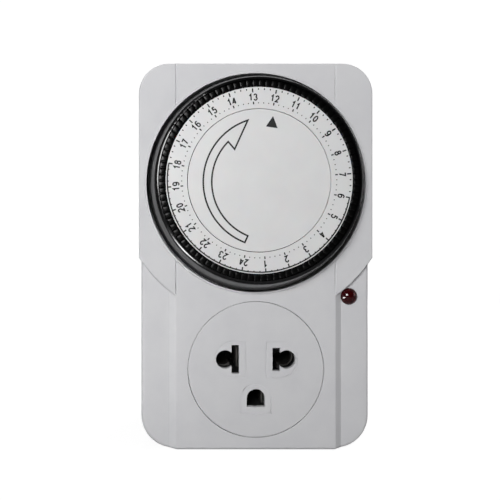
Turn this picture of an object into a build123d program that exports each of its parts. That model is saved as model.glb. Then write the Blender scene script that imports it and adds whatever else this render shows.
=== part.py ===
"""Plug-in 24 hour timer switch with a universal outlet.

The case stands against the wall face, which is the plane y = 0.  The front looks along -Y, +X is to
the right seen from the front and +Z is up.  The origin is the point of the wall face half way between
the two flat blades.  Depths are distances from the wall face towards the front, so a point at depth d
has y = -d.
"""

import os
from math import cos, radians, sin, sqrt, tan

from build123d import *

# ---------------------------------------------------------------- driving sizes, millimetres
# Case
CASE_BOTTOM = -28.1        # lower edge, below the blades
HOOD_TOP = 3.2             # the hood above the dial's well
SEAM_DEPTH = 14.0          # where the two shells meet
HOOD_SIDE = 2.35           # the hood beside the dial's well
HOOD_PROUD = 0.7           # the hood stands out past the lower case by this much
BAND_WIDTH = 49.4          # flat front of the centre band
BAND_SLOPE = 2.2           # width of the band's sloped sides
BAND_OVERLAP = 3.0         # the band runs into the hood by this much
PANEL_STEP = 1.6           # side panels lie behind the band by this much
TOP_RADIUS = 9.4           # upper corners
BOTTOM_RADIUS = 10.2       # lower corners
EDGE_ROUND = 1.0           # rounding of the outer front edges
BACK_ROUND = 1.0           # rounding of the rear cover's outer edge
SHELL_WALL = 2.2
REAR_WALL = 2.4
SEAM_GAP = 0.1
SEAM_LIP_HEIGHT = 1.4      # tongue of the rear cover inside the front cover
SEAM_LIP_WALL = 1.0
GROOVE_WIDTH = 0.6         # fine grooves beside the band on the hood
GROOVE_DEPTH = 0.35
LABEL_WIDTH = 40.0         # shallow bare field on the back
LABEL_HEIGHT = 30.0
LABEL_BASE = 36.0
LABEL_DEPTH = 0.4

# Dial
DIAL_ABOVE_OUTLET = 2.9    # from the outlet insert to the dial's well
SHOULDER_WIDTH = 9.1       # from the dial's well to the arc of the shoulder
WELL_GAP = 0.6             # round the dial
WELL_WALL = 1.6
WELL_DEPTH = 9.0           # sunk into the front by this much
WELL_FLOOR = 2.0
LIP_HEIGHT = 0.35          # fine raised lip round the well
LIP_WIDTH = 0.7
DIAL_RADIUS = 33.3
DIAL_PROUD = 6.5           # the black rim stands out of the front by this much
RIM_WIDTH = 3.2            # from the tappet channel to the outside
RIM_LAND = 0.9             # top of the rim beside the channel, up to its rounded edge's corner
RIM_ROUND = 1.2            # rounding of that edge
RIM_SLOPE_DEPTH = 6.8      # the rim's outside slopes inwards over this depth
SKIRT_RISE = 2.0           # the rim's lower edge above the well floor
SKIRT_WALL = 1.4
CHANNEL_WIDTH = 2.1        # tappet channel, along the radius
CHANNEL_DEPTH = 9.5
CHANNEL_FLOOR = 2.0
FACE_RECESS = 0.6          # white faces lie behind the rim by this much
FACE_THICKNESS = 1.0
RING_SEAT = 0.1            # between the number ring and the channel
NUMBER_RING_WIDTH = 6.4
DISC_GAP = 0.2             # between the number ring and the centre disc
RING_WALL = 1.25           # upright walls that carry the number ring
WEB_THICKNESS = 1.6
WEB_RISE = 0.6             # the web stands above the channel's floor by this much
HUB_RADIUS = 6.5
HUB_CLEARANCE = 0.3        # behind the hub
POST_RADIUS = 4.0
POST_BELOW_RIM = 4.2
POST_HOLE_FLOOR = 2.0      # left behind the post's screw hole
RUNNING_FIT = 0.05         # radial clearance of a turning fit
END_PLAY = 0.2             # clearance along a turning axis
DIAL_SETTING = 10.8        # the twelve o'clock line stands this far past the top, clockwise
RETAINER_RADIUS = 9.5
RETAINER_THICKNESS = 1.0
RETAINER_WALL = 1.5
SPIGOT_GAP = 0.1
DIAL_SCREW_FLOOR = 3.0
DIAL_HEAD_HEIGHT = 1.0

# Tappets
HOURS = 24
TAPPETS_TO_HOUR = 4
TAPPETS_IN_GROUP = 8
TAPPET_HEAD = 6.1          # height of the head
TAPPET_FOOT = 5.1          # height of the foot
TAPPET_SINK = 0.2          # the heads lie below the rim by this much
TAPPET_GAP = 0.2           # between neighbours
TAPPET_SLIDE = 0.12        # clearance of a head in the channel
TAPPET_TRAVEL = 3.0
FOOT_WIDTH = 0.9
FOOT_LENGTH = 1.5          # along the radius
FOOT_CLEARANCE = 0.1

# Gears
DIAL_GEAR_INSET = 0.64     # the inside gear's ring lies inside the channel by this much
DIAL_GEAR_TEETH = 84
DIAL_PINION_TEETH = 12
TRAIN_CENTRE_DISTANCE = 15.0   # from each wheel to the next
WHEEL_TEETH = 50
PINION_TEETH = 10
ADDENDUM = 0.8             # in modules
DEDENDUM = 1.1
ROOT_SHARE = 0.30          # half a tooth at its root, as a share of the pitch
TIP_SHARE = 0.13
DIAL_GEAR_WIDTH = 3.4
DIAL_GEAR_WALL = 1.5
DIAL_PINION_WIDTH = 2.8
DIAL_PINION_INSET = 0.3    # behind the inside gear's edge
PINION_WINDOW = 0.3        # round the pinion in the well floor
PINION_OVERRUN = 0.2
WHEEL_WIDTH = 1.4
WHEEL_PITCH = 2.2          # depth from one wheel to the next
WHEEL_CLEARANCE = 0.6      # in front of the rear plate
WHEEL_HUB_RADIUS = 1.6
ARBOR_RADIUS = 0.75
OUTPUT_SHAFT_RADIUS = 1.5
CLUTCH_HUB_RADIUS = 2.8
CLUTCH_HUB_LENGTH = 0.4     # stands behind its wheel
CLUTCH_SHOULDER_RADIUS = 1.8   # the thicker part of the output shaft behind the clutch wheel
CLUTCH_COLLAR_RADIUS = 4.0
CLUTCH_SPRING_THICKNESS = 0.5
CLUTCH_GAP = 0.06
OUTPUT_DIRECTION = 150.0   # from the dial axis to the output shaft, degrees
TRAIN_DIRECTIONS = (-10.0, 50.0, -50.0, -100.0)   # from each wheel back to the next, ending at the rotor

# Movement frame
FRAME_GAP = 3.0            # between the front plate and the well floor
PLATE_THICKNESS = 1.6
PLATE_SPACE = 10.4         # between the two plates
PLATE_LEFT_REACH = 6.3     # plate edges from the output shaft
PLATE_RIGHT_REACH = 48.2
PLATE_LOW_REACH = 33.5
PLATE_HIGH_REACH = 13.5
PLATE_ROUND = 3.0
PILLAR_OFFSETS = ((43.7, 10.5), (44.9, -30.3), (-2.8, -27.5))   # from the output shaft
PILLAR_RADIUS = 2.8
SMALL_SCREW_RADIUS = 1.1
SMALL_HEAD_RADIUS = 2.2
SMALL_HEAD_HEIGHT = 1.4
SCREW_CLEARANCE = 0.1
SCREW_BITE = 0.6           # an insert screw reaches into the panel by this much
SCREW_SPARE = 0.4          # left in front of a screw's tip
PILLAR_SCREW_FLOOR = 1.0   # from the tip of a movement screw to the well's floor

# Motor
MOTOR_RADIUS = 15.0
MOTOR_DEPTH = 9.1
MOTOR_WALL = 0.8
MOTOR_GAP = 0.1
MOTOR_BACK_GAP = 0.8       # between the motor and the rear wall
MOTOR_EAR_REACH = 17.6
MOTOR_EAR_RADIUS = 2.6
MOTOR_EARS = (45.0, 225.0)   # directions of the two ears, degrees
COIL_INNER = 9.4
COIL_OUTER = 13.4
BOBBIN_WALL = 0.7
ROTOR_RADIUS = 8.2
ROTOR_LENGTH = 6.2

# Timer contact: lever and snap switch
LEVER_PIVOT_OFFSET = 12.2  # pivot left of the nose
LEVER_BELOW_WELL = 3.5     # pivot behind the well floor
LEVER_THICKNESS = 1.6
LEVER_WIDTH = 5.6
LEVER_TAIL = 1.7
NOSE_WIDTH = 2.4
NOSE_RADIAL = 1.6
NOSE_SHOULDER = 0.3        # the nose's full width ends this far behind the well's floor
NOSE_REACH = 0.7           # the nose ends below the tappet feet by this much
NOSE_TIP_WIDTH = 0.3
NOSE_NECK_WIDTH = 0.8
NOSE_NECK_BELOW = 0.25     # the wedge starts below the pressed feet by this much
PIVOT_PIN_RADIUS = 0.8
PIN_FIT = 0.02
LEVER_SWING = 11.0
SWITCH_LENGTH = 20.0
SWITCH_THICKNESS = 6.4
SWITCH_HEIGHT = 10.0
SWITCH_BELOW_PIVOT = 3.9
SWITCH_ROUND = 0.6
SWITCH_LEFT_OFFSET = 4.0   # switch body past the pivot
SWITCH_PIN_INSET = 2.5
SWITCH_PIN_DROP = 4.6      # below the top of the switch
PLUNGER_OFFSET = 6.0       # plunger right of the pivot
PLUNGER_WIDTH = 2.0
PLUNGER_LENGTH = 2.6
PLUNGER_GAP = 0.2
PLUNGER_FIT = 0.08
PLUNGER_TRAVEL = 1.25
PLUNGER_ROUND = 0.6
PLUNGER_IN_BODY = 2.0
POCKET_SPARE = 0.3
TERMINAL_THICKNESS = 0.6
TERMINAL_WIDTH = 3.2
TERMINAL_LENGTH = 5.0
TERMINAL_INSET = 2.0
RIB_WALL = 1.2
RIB_CLEARANCE = 0.1        # between a rib and the snap switch
RIB_OVERRUN = 2.4          # the ribs reach behind the fixing pins by this much
WINDOW_CLEARANCE = 0.6

# Outlet
SOCKET_Z = -3.1            # centre of the round insert
INSERT_RADIUS = 21.0
INSERT_GAP = 0.15
INSERT_PLATE = 3.2
INSERT_BACKING = 2.9
INSERT_STEP = 1.0          # the backing lies inside the face by this much
PIN_PITCH = 12.7           # flat blades
ROUND_PIN_PITCH = 19.0     # round pins
EARTH_DROP = 11.9          # earth below the blades
SLOT_WIDTH = 2.35
NEUTRAL_SLOT = 8.9
LIVE_SLOT = 7.2
ROUND_HOLE_RADIUS = 2.85
EARTH_HOLE_WIDTH = 5.66
EARTH_HOLE_ABOVE = 2.75    # from the earth's centre to the top of the hole
EARTH_HOLE_BELOW = 2.8
CHAMBER_WALL = 1.0
CHAMBER_DEPTH = 20.7       # from the face of the outlet
CHAMBER_HALF_HEIGHT = 4.5
CHAMBER_INNER_MARGIN = 1.75    # inside the flat blades' line
CHAMBER_OUTER_MARGIN = 3.7     # outside the round pins' line
EARTH_CHAMBER_SIDE = 0.77  # past the earth hole's sides
EARTH_CHAMBER_MARGIN = 0.8
EAR_OFFSET = 4.5           # screw ears outside the insert
EAR_HALF_HEIGHT = 3.5
EAR_THICKNESS = 2.2
EAR_BOSS_RADIUS = 2.8
OUTLINE_WIDTH = 0.35       # fine moulded outlines round the holes
OUTLINE_DEPTH = 0.25
FIELD_INNER_MARGIN = 3.35  # outline of a pin field: flat side, from the flat blades' line
FIELD_OUTER_MARGIN = 3.45  # and round side, from the round pins' line
FIELD_HALF_HEIGHT = 5.75
EARTH_FIELD_SIDE = 2.07    # outline of the earth field, from the edges of its hole
EARTH_FIELD_ABOVE = 1.75
EARTH_FIELD_BELOW = 2.1

# Contacts and pins
LEAF = 0.5
STRAP = 0.6
STRAP_GAP = 0.1            # between a strap and its chamber
STRAP_INNER_MARGIN = 0.5   # a strap reaches past its chamber inwards
STRAP_OUTER_MARGIN = 1.2   # and outwards
SLEEVE_RADIUS = 2.7        # inner radius of the leaf round a round pin
SLEEVE_OPENING = 1.7       # the leaf ends this far inside its axis
WING_TOP = 4.0
INNER_LEAF_OFFSET = 0.85   # flat leaf inside the blade's line
INNER_LEAF_HALF = 3.4
LEAF_SETBACK = 2.3         # leaves end behind the outlet's face plate by this much
EARTH_LEAF_INSET = 0.33    # inside the earth hole's side
BLADE_THICKNESS = 1.5
BLADE_WIDTH = 6.35
BLADE_LENGTH = 16.5
BLADE_TIP = 1.2
BLADE_TIP_HALF = 0.3       # half thickness left at the tip
FOOT_REACH = 5.0
FEET_STEP = 4.1            # the live foot lies behind the neutral foot
EARTH_PIN_RADIUS = 2.4
EARTH_TIP_ROUND = 1.9
EARTH_SHANK_RADIUS = 2.6   # thicker root of the pin, through the wall
EARTH_ROOT = 0.5           # the root stands out of the wall face by this much
EARTH_PIN_LENGTH = 20.5
EARTH_COLLAR_RADIUS = 3.4
RIVET_OFFSET = 3.2         # outside the blades' line
RIVET_RADIUS = 0.8
RIVET_HEAD_RADIUS = 1.4
RIVET_HEAD = 0.7
RIVET_RECESS = 1.0
SLIP_FIT = 0.05
PIN_BLOCK_MARGIN = 2.6     # pin block past the blades' feet
PIN_BLOCK_HALF = 5.2       # half its height beside the blades
PIN_BLOCK_BELOW = 4.5      # below the earth pin
FOOT_SIDE_GAP = 0.8
COLLAR_SEAT = 0.8

# Fasteners of the case
SCREW_SIDE_INSET = 8.05    # from the sides of the lower case
SCREW_TOP_INSET = 8.3
SCREW_BOTTOM_INSET = 8.6
CASE_SCREW_RADIUS = 1.45
CASE_HEAD_RADIUS = 2.8
CASE_HEAD_HEIGHT = 1.8
CASE_SEAT_DEPTH = 8.0
CASE_SCREW_LENGTH = 20.0
CASE_BOSS_RADIUS = 3.2
CASE_COLUMN_RADIUS = 4.2
CASE_HOLE_SPARE = 1.0      # past the screw's tip
CROSS_LENGTH = 3.4         # recess in a screw's head
CROSS_WIDTH = 0.7
CROSS_DEPTH = 1.1

# Indicator
LAMP_INSET = 6.15          # from the side of the lower case
LAMP_BELOW_SHOULDER = 2.94
LENS_RADIUS = 2.6
LENS_DOME = 1.5
LENS_WALL = 0.6
LENS_FLANGE = 0.8
LENS_FLANGE_RADIUS = 3.4
LENS_SLEEVE = 3.4
LAMP_LENGTH = 12.0
LAMP_GAP = 0.1
LEAD_RADIUS = 0.3
LEAD_SPREAD = 0.9
LEAD_LENGTH = 4.0
RESISTOR_RADIUS = 1.1
RESISTOR_LENGTH = 6.3

# Manual override slide switch
OVERRIDE_Z = 8.5
OVERRIDE_DEPTH = 23.5
OVERRIDE_LENGTH = 11.0
OVERRIDE_HEIGHT = 7.0
OVERRIDE_THICKNESS = 6.0
KNOB_LENGTH = 2.8
KNOB_WIDTH = 3.0
KNOB_TRAVEL = 3.0
KNOB_CLEARANCE = 0.3
KNOB_IN_BODY = 1.5
KNOB_SIDE_GAP = 0.1
KNOB_SUNK = 0.1            # below the outside of the wall
KNOB_ROUND = 0.4
RECESS_DEPTH = 1.0
RECESS_MARGIN = 2.0
RECESS_TAPER = 20.0

# Wires
WIRE_RADIUS = 0.7
LEAD_WIRE_RADIUS = 0.5
LAMP_WIRE_RADIUS = 0.35
WIRE_BEND = 2.5
STRAP_LEAD = 5.5           # straight end of a wire
FEED_SHIFT = 2.0           # live feed outside the live blade
MOTOR_LEAD_SPREAD = 1.0

# ---------------------------------------------------------------- worked-out places
MOTOR_BACK = REAR_WALL + MOTOR_BACK_GAP
MOTOR_FRONT = MOTOR_BACK + MOTOR_DEPTH
REAR_PLATE_BACK = MOTOR_FRONT + MOTOR_GAP
REAR_PLATE_FRONT = REAR_PLATE_BACK + PLATE_THICKNESS
FRONT_PLATE_BACK = REAR_PLATE_FRONT + PLATE_SPACE
FRONT_PLATE_DEPTH = FRONT_PLATE_BACK + PLATE_THICKNESS
WELL_BACK = FRONT_PLATE_DEPTH + FRAME_GAP
WELL_TOP = WELL_BACK + WELL_FLOOR
CASE_DEPTH = WELL_TOP + WELL_DEPTH
WELL_RADIUS = DIAL_RADIUS + WELL_GAP
SHOULDER_RADIUS = WELL_RADIUS + SHOULDER_WIDTH
DIAL_Z = SOCKET_Z + INSERT_RADIUS + DIAL_ABOVE_OUTLET + WELL_RADIUS
CASE_TOP = DIAL_Z + WELL_RADIUS + HOOD_TOP
HOOD_WIDTH = 2 * (WELL_RADIUS + HOOD_SIDE)
LOWER_WIDTH = HOOD_WIDTH - 2 * HOOD_PROUD
PANEL_DEPTH = CASE_DEPTH - PANEL_STEP
PANEL_INSIDE = PANEL_DEPTH - SHELL_WALL
HOOD_INSIDE = CASE_DEPTH - SHELL_WALL
INNER_HALF_WIDTH = LOWER_WIDTH / 2 - SHELL_WALL
RIM_TOP = CASE_DEPTH + DIAL_PROUD
CHANNEL_OUTER = DIAL_RADIUS - RIM_WIDTH
CHANNEL_INNER = CHANNEL_OUTER - CHANNEL_WIDTH
CHANNEL_BOTTOM = RIM_TOP - CHANNEL_DEPTH
CHANNEL_BACK = CHANNEL_BOTTOM - CHANNEL_FLOOR
SKIRT_BOTTOM = WELL_TOP + SKIRT_RISE
NUMBER_RING_OUTER = CHANNEL_INNER - RING_SEAT
NUMBER_RING_INNER = NUMBER_RING_OUTER - NUMBER_RING_WIDTH
CENTRE_DISC_RADIUS = NUMBER_RING_INNER - DISC_GAP
FACE_FRONT = RIM_TOP - FACE_RECESS
FACE_BACK = FACE_FRONT - FACE_THICKNESS
WEB_FRONT = CHANNEL_BOTTOM + WEB_RISE
WEB_BACK = WEB_FRONT - WEB_THICKNESS
HUB_BACK = WELL_TOP + HUB_CLEARANCE
POST_TOP = RIM_TOP - POST_BELOW_RIM
HUB_FRONT = POST_TOP - END_PLAY
RETAINER_FRONT = POST_TOP + RETAINER_THICKNESS
TAPPETS = HOURS * TAPPETS_TO_HOUR
TAPPET_PITCH = 360 / TAPPETS
TAPPET_RADIUS = (CHANNEL_INNER + CHANNEL_OUTER) / 2
TAPPET_TOP = RIM_TOP - TAPPET_SINK
TAPPET_SHOULDER = TAPPET_TOP - TAPPET_HEAD
TAPPET_BOTTOM = TAPPET_SHOULDER - TAPPET_FOOT
FOOT_BOTTOM_PRESSED = TAPPET_BOTTOM - TAPPET_TRAVEL
HOUR_ANGLE = 360 / HOURS
MIDNIGHT_ANGLE = 90 - DIAL_SETTING - HOURS / 2 * HOUR_ANGLE
DIAL_GEAR_ROOT = CHANNEL_INNER - DIAL_GEAR_INSET - DIAL_GEAR_WALL
DIAL_MODULE = DIAL_GEAR_ROOT / (DIAL_GEAR_TEETH / 2 + DEDENDUM)
DIAL_GEAR_BACK = WEB_BACK - DIAL_GEAR_WIDTH
DIAL_CENTRE_DISTANCE = DIAL_MODULE * (DIAL_GEAR_TEETH - DIAL_PINION_TEETH) / 2
DIAL_PINION_BACK = DIAL_GEAR_BACK + DIAL_PINION_INSET
TRAIN_MODULE = 2 * TRAIN_CENTRE_DISTANCE / (WHEEL_TEETH + PINION_TEETH)
FIRST_WHEEL = REAR_PLATE_FRONT + WHEEL_CLEARANCE
LEVER_PIVOT_DEPTH = WELL_BACK - LEVER_BELOW_WELL
SWITCH_TOP_DEPTH = LEVER_PIVOT_DEPTH - SWITCH_BELOW_PIVOT
SWITCH_PIN_DEPTH = SWITCH_TOP_DEPTH - SWITCH_PIN_DROP
RIB_BACK_DEPTH = SWITCH_PIN_DEPTH - RIB_OVERRUN
BLADE_X = PIN_PITCH / 2
ROUND_X = ROUND_PIN_PITCH / 2
INSERT_BACKING_RADIUS = INSERT_RADIUS - INSERT_STEP
INSERT_BACK = CASE_DEPTH - INSERT_PLATE
BACKING_BACK = INSERT_BACK - INSERT_BACKING
EAR_REACH = INSERT_RADIUS + EAR_OFFSET
CHAMBER_BACK_DEPTH = CASE_DEPTH - CHAMBER_DEPTH
CHAMBER_INNER_X = BLADE_X - CHAMBER_INNER_MARGIN
CHAMBER_OUTER_X = ROUND_X + CHAMBER_OUTER_MARGIN
FIELD_INNER = BLADE_X - FIELD_INNER_MARGIN
FIELD_OUTER = ROUND_X + FIELD_OUTER_MARGIN
EARTH_HOLE_TOP = -EARTH_DROP + EARTH_HOLE_ABOVE
EARTH_HOLE_BOTTOM = -EARTH_DROP - EARTH_HOLE_BELOW
EARTH_CHAMBER_HALF = EARTH_HOLE_WIDTH / 2 + EARTH_CHAMBER_SIDE
EARTH_FIELD_HALF = EARTH_HOLE_WIDTH / 2 + EARTH_FIELD_SIDE
EARTH_FIELD_TOP = EARTH_HOLE_TOP + EARTH_FIELD_ABOVE
EARTH_FIELD_BOTTOM = EARTH_HOLE_BOTTOM - EARTH_FIELD_BELOW
STRAP_FRONT = CHAMBER_BACK_DEPTH - STRAP_GAP
STRAP_BACK = STRAP_FRONT - STRAP
INNER_LEAF_X = BLADE_X - INNER_LEAF_OFFSET
LEAF_FRONT_DEPTH = INSERT_BACK - LEAF_SETBACK
EARTH_LEAF_X = EARTH_HOLE_WIDTH / 2 - EARTH_LEAF_INSET
RIVET_X = BLADE_X + RIVET_OFFSET
NEUTRAL_FOOT_DEPTH = STRAP_BACK - BLADE_THICKNESS
LIVE_FOOT_DEPTH = NEUTRAL_FOOT_DEPTH - FEET_STEP
SCREW_X = LOWER_WIDTH / 2 - SCREW_SIDE_INSET
SCREW_HIGH = CASE_TOP - SCREW_TOP_INSET
SCREW_LOW = CASE_BOTTOM + SCREW_BOTTOM_INSET
CASE_SCREWS = ((-SCREW_X, SCREW_HIGH), (SCREW_X, SCREW_HIGH), (-SCREW_X, SCREW_LOW), (SCREW_X, SCREW_LOW))
LAMP_X = LOWER_WIDTH / 2 - LAMP_INSET
LAMP_Z = DIAL_Z - sqrt((SHOULDER_RADIUS + LAMP_BELOW_SHOULDER) ** 2 - LAMP_X**2)


def at_depth(depth):
    """Plane parallel to the wall, at a depth: local x runs right and local y runs up."""
    return Plane(origin=(0, -depth, 0), x_dir=(1, 0, 0), z_dir=(0, -1, 0))


def section_at(x, z):
    """Plane along the depth through (x, z): local x is a radius and local y is the depth."""
    return Plane(origin=(x, 0, z), x_dir=(1, 0, 0), z_dir=(0, 0, -1))


def depth_axis(x, z):
    """Line along the depth through (x, z), pointing to the front."""
    return Axis((x, 0, z), (0, -1, 0))


def polar(centre, radius, angle):
    """Point at a radius and an angle in degrees about a centre, in x and z."""
    return (centre[0] + radius * cos(radians(angle)), centre[1] + radius * sin(radians(angle)))


def prism(outline, back, front, mode=Mode.ADD):
    """Carry an outline, drawn in x and z, from one depth to another."""
    with BuildSketch(at_depth(back)) as placed:
        add(outline)
    extrude(placed.sketch, amount=front - back, mode=mode)


def bars(places, radius, back, front, mode=Mode.ADD):
    """Round bars, or holes, along the depth at each place in x and z."""
    with BuildSketch(at_depth(back)) as placed:
        with Locations(*places):
            Circle(radius)
    extrude(placed.sketch, amount=front - back, mode=mode)


def block(x_range, z_range, back, front, mode=Mode.ADD):
    """Rectangular block between two x, two z and two depths."""
    with BuildSketch(at_depth(back)) as placed:
        with Locations((sum(x_range) / 2, sum(z_range) / 2)):
            Rectangle(x_range[1] - x_range[0], z_range[1] - z_range[0])
    extrude(placed.sketch, amount=front - back, mode=mode)


def turned(points, x, z, mode=Mode.ADD):
    """Turn a closed section, given as (radius, depth) points, about the line along the depth at (x, z)."""
    with BuildSketch(section_at(x, z)) as section:
        Polygon(*points, align=None)
    revolve(section.sketch, axis=depth_axis(x, z), mode=mode)


def upright_pins(places, radius, low, high, mode=Mode.ADD):
    """Round pins, or holes, along z at each place in x and depth."""
    with BuildSketch(Plane.XY.offset(low)) as placed:
        with Locations(*[(x, -depth) for x, depth in places]):
            Circle(radius)
    extrude(placed.sketch, amount=high - low, mode=mode)


def rounded_plate(width, low, high, low_radius, high_radius):
    """Upright outline, centred on x = 0, with one radius below and another above."""
    with BuildSketch() as plate:
        with Locations((0, (low + high) / 2)):
            Rectangle(width, high - low)
        fillet(plate.vertices().group_by(Axis.Y)[0], low_radius)
        fillet(plate.vertices().group_by(Axis.Y)[-1], high_radius)
    return plate.sketch


def toothed_outline(teeth, module, phase, outward=1):
    """Outline of a gear with straight-sided teeth; outward is -1 for teeth that point inwards."""
    pitch_radius = module * teeth / 2
    tip = pitch_radius + outward * ADDENDUM * module
    root = pitch_radius - outward * DEDENDUM * module
    corners = ((root, -ROOT_SHARE), (tip, -TIP_SHARE), (tip, TIP_SHARE), (root, ROOT_SHARE))
    points = [
        polar((0, 0), radius, phase + (tooth + share) * 360 / teeth)
        for tooth in range(teeth)
        for radius, share in corners
    ]
    with BuildSketch() as outline:
        Polygon(*points, align=None)
    return outline.sketch


def gear(outline, place, back, front):
    """Carry a gear outline to its shaft and along the depth."""
    with BuildSketch(at_depth(back)) as placed:
        with Locations(place):
            add(outline)
    extrude(placed.sketch, amount=front - back)


def outside_mesh(from_phase, from_teeth, direction, to_teeth):
    """Phase of an outside gear that meshes with another lying back along a direction."""
    share = (direction - from_phase) * from_teeth / 360
    return direction + 180 - (0.5 - share) * 360 / to_teeth


def wire(points, radius):
    """Round wire along straight runs, (x, z, depth), joined by tangent arcs."""
    corners = [(x, -depth, z) for x, z, depth in points]
    with BuildLine() as route:
        FilletPolyline(*corners, radius=WIRE_BEND)
    start = Plane(origin=corners[0], z_dir=route.wire() % 0)
    with BuildSketch(start) as section:
        Circle(radius)
    sweep(section.sketch, path=route.wire())


def finish(part, name):
    """Label a finished piece and write its STEP file."""
    part.label = name
    export_step(part, f"parts/{name}.step")


os.makedirs("parts", exist_ok=True)

# ---------------------------------------------------------------- shared outlines, in x and z
lower_top = CASE_TOP - HOOD_PROUD
lower_outline = rounded_plate(LOWER_WIDTH, CASE_BOTTOM, lower_top, BOTTOM_RADIUS, TOP_RADIUS)
hood_plate = rounded_plate(HOOD_WIDTH, CASE_BOTTOM, CASE_TOP, BOTTOM_RADIUS, TOP_RADIUS)
inner_outline = rounded_plate(
    2 * INNER_HALF_WIDTH,
    CASE_BOTTOM + SHELL_WALL,
    lower_top - SHELL_WALL,
    BOTTOM_RADIUS - SHELL_WALL,
    TOP_RADIUS - SHELL_WALL,
)

with BuildSketch() as hood_outline:
    with Locations((0, DIAL_Z)):
        Circle(SHOULDER_RADIUS)
        Rectangle(2 * SHOULDER_RADIUS, SHOULDER_RADIUS, align=(Align.CENTER, Align.MIN))
    add(hood_plate, mode=Mode.INTERSECT)

band_foot = BAND_WIDTH / 2 + BAND_SLOPE
band_join = DIAL_Z - sqrt(SHOULDER_RADIUS**2 - band_foot**2) + BAND_OVERLAP
with BuildSketch() as band_foot_outline:
    with Locations((0, (CASE_BOTTOM + band_join) / 2)):
        Rectangle(2 * band_foot, band_join - CASE_BOTTOM)

with BuildSketch() as deep_outline:
    with Locations((0, DIAL_Z)):
        Circle(SHOULDER_RADIUS - SHELL_WALL)
        Rectangle(2 * SHOULDER_RADIUS, SHOULDER_RADIUS, align=(Align.CENTER, Align.MIN))
    with Locations((0, CASE_BOTTOM)):
        Rectangle(BAND_WIDTH - 2 * SHELL_WALL, DIAL_Z - CASE_BOTTOM, align=(Align.CENTER, Align.MIN))
    add(inner_outline, mode=Mode.INTERSECT)

dial_place = (0, DIAL_Z)
output_place = polar(dial_place, DIAL_CENTRE_DISTANCE, OUTPUT_DIRECTION)
wheel_places = [output_place]
for direction in TRAIN_DIRECTIONS:
    wheel_places.append(polar(wheel_places[-1], TRAIN_CENTRE_DISTANCE, direction))
third_place, second_place, first_place, motor_place = wheel_places[1:]
pillars = [(output_place[0] + x, output_place[1] + z) for x, z in PILLAR_OFFSETS]

nose_step = round((-90 - MIDNIGHT_ANGLE) / TAPPET_PITCH)
nose_x, nose_z = polar(dial_place, TAPPET_RADIUS, MIDNIGHT_ANGLE + nose_step * TAPPET_PITCH)
pivot_x = nose_x - LEVER_PIVOT_OFFSET
rib_inner = SWITCH_THICKNESS / 2 + RIB_CLEARANCE
switch_left = pivot_x - SWITCH_LEFT_OFFSET
switch_right = switch_left + SWITCH_LENGTH
switch_pins = [
    (switch_left + SWITCH_PIN_INSET, SWITCH_PIN_DEPTH),
    (switch_right - SWITCH_PIN_INSET, SWITCH_PIN_DEPTH),
]
ear_places = [(-EAR_REACH, SOCKET_Z), (EAR_REACH, SOCKET_Z)]
ear_front = BACKING_BACK
ear_back = ear_front - EAR_THICKNESS
insert_screw_end = PANEL_INSIDE + SCREW_BITE
screw_hole = SMALL_SCREW_RADIUS + SCREW_CLEARANCE
knob_slot = KNOB_LENGTH + KNOB_TRAVEL + 2 * KNOB_CLEARANCE

# ---------------------------------------------------------------- front cover
with BuildPart() as front_cover:
    with BuildSketch(Plane.XY.offset(CASE_BOTTOM)):
        with BuildLine():
            Polyline(
                (-band_foot, -SEAM_DEPTH),
                (-band_foot, -PANEL_DEPTH),
                (-BAND_WIDTH / 2, -CASE_DEPTH),
                (BAND_WIDTH / 2, -CASE_DEPTH),
                (band_foot, -PANEL_DEPTH),
                (band_foot, -SEAM_DEPTH),
                close=True,
            )
        make_face()
    extrude(amount=band_join - CASE_BOTTOM)
    band_front = front_cover.faces().sort_by(Axis.Y)[0]
    fillet(band_front.edges().filter_by(Axis.Z), EDGE_ROUND / 2)
    fillet(front_cover.edges().filter_by(Axis.X).group_by(Axis.Z)[0].sort_by(Axis.Y)[0], EDGE_ROUND)

with BuildPart() as lower_shell:
    prism(lower_outline, SEAM_DEPTH, PANEL_DEPTH)
    fillet(lower_shell.faces().sort_by(Axis.Y)[0].edges(), EDGE_ROUND)

with BuildPart() as hood_shell:
    prism(hood_outline.sketch, SEAM_DEPTH, CASE_DEPTH)
    hood_edges = hood_shell.faces().sort_by(Axis.Y)[0].edges()
    fillet(hood_edges, EDGE_ROUND / 2)

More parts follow.
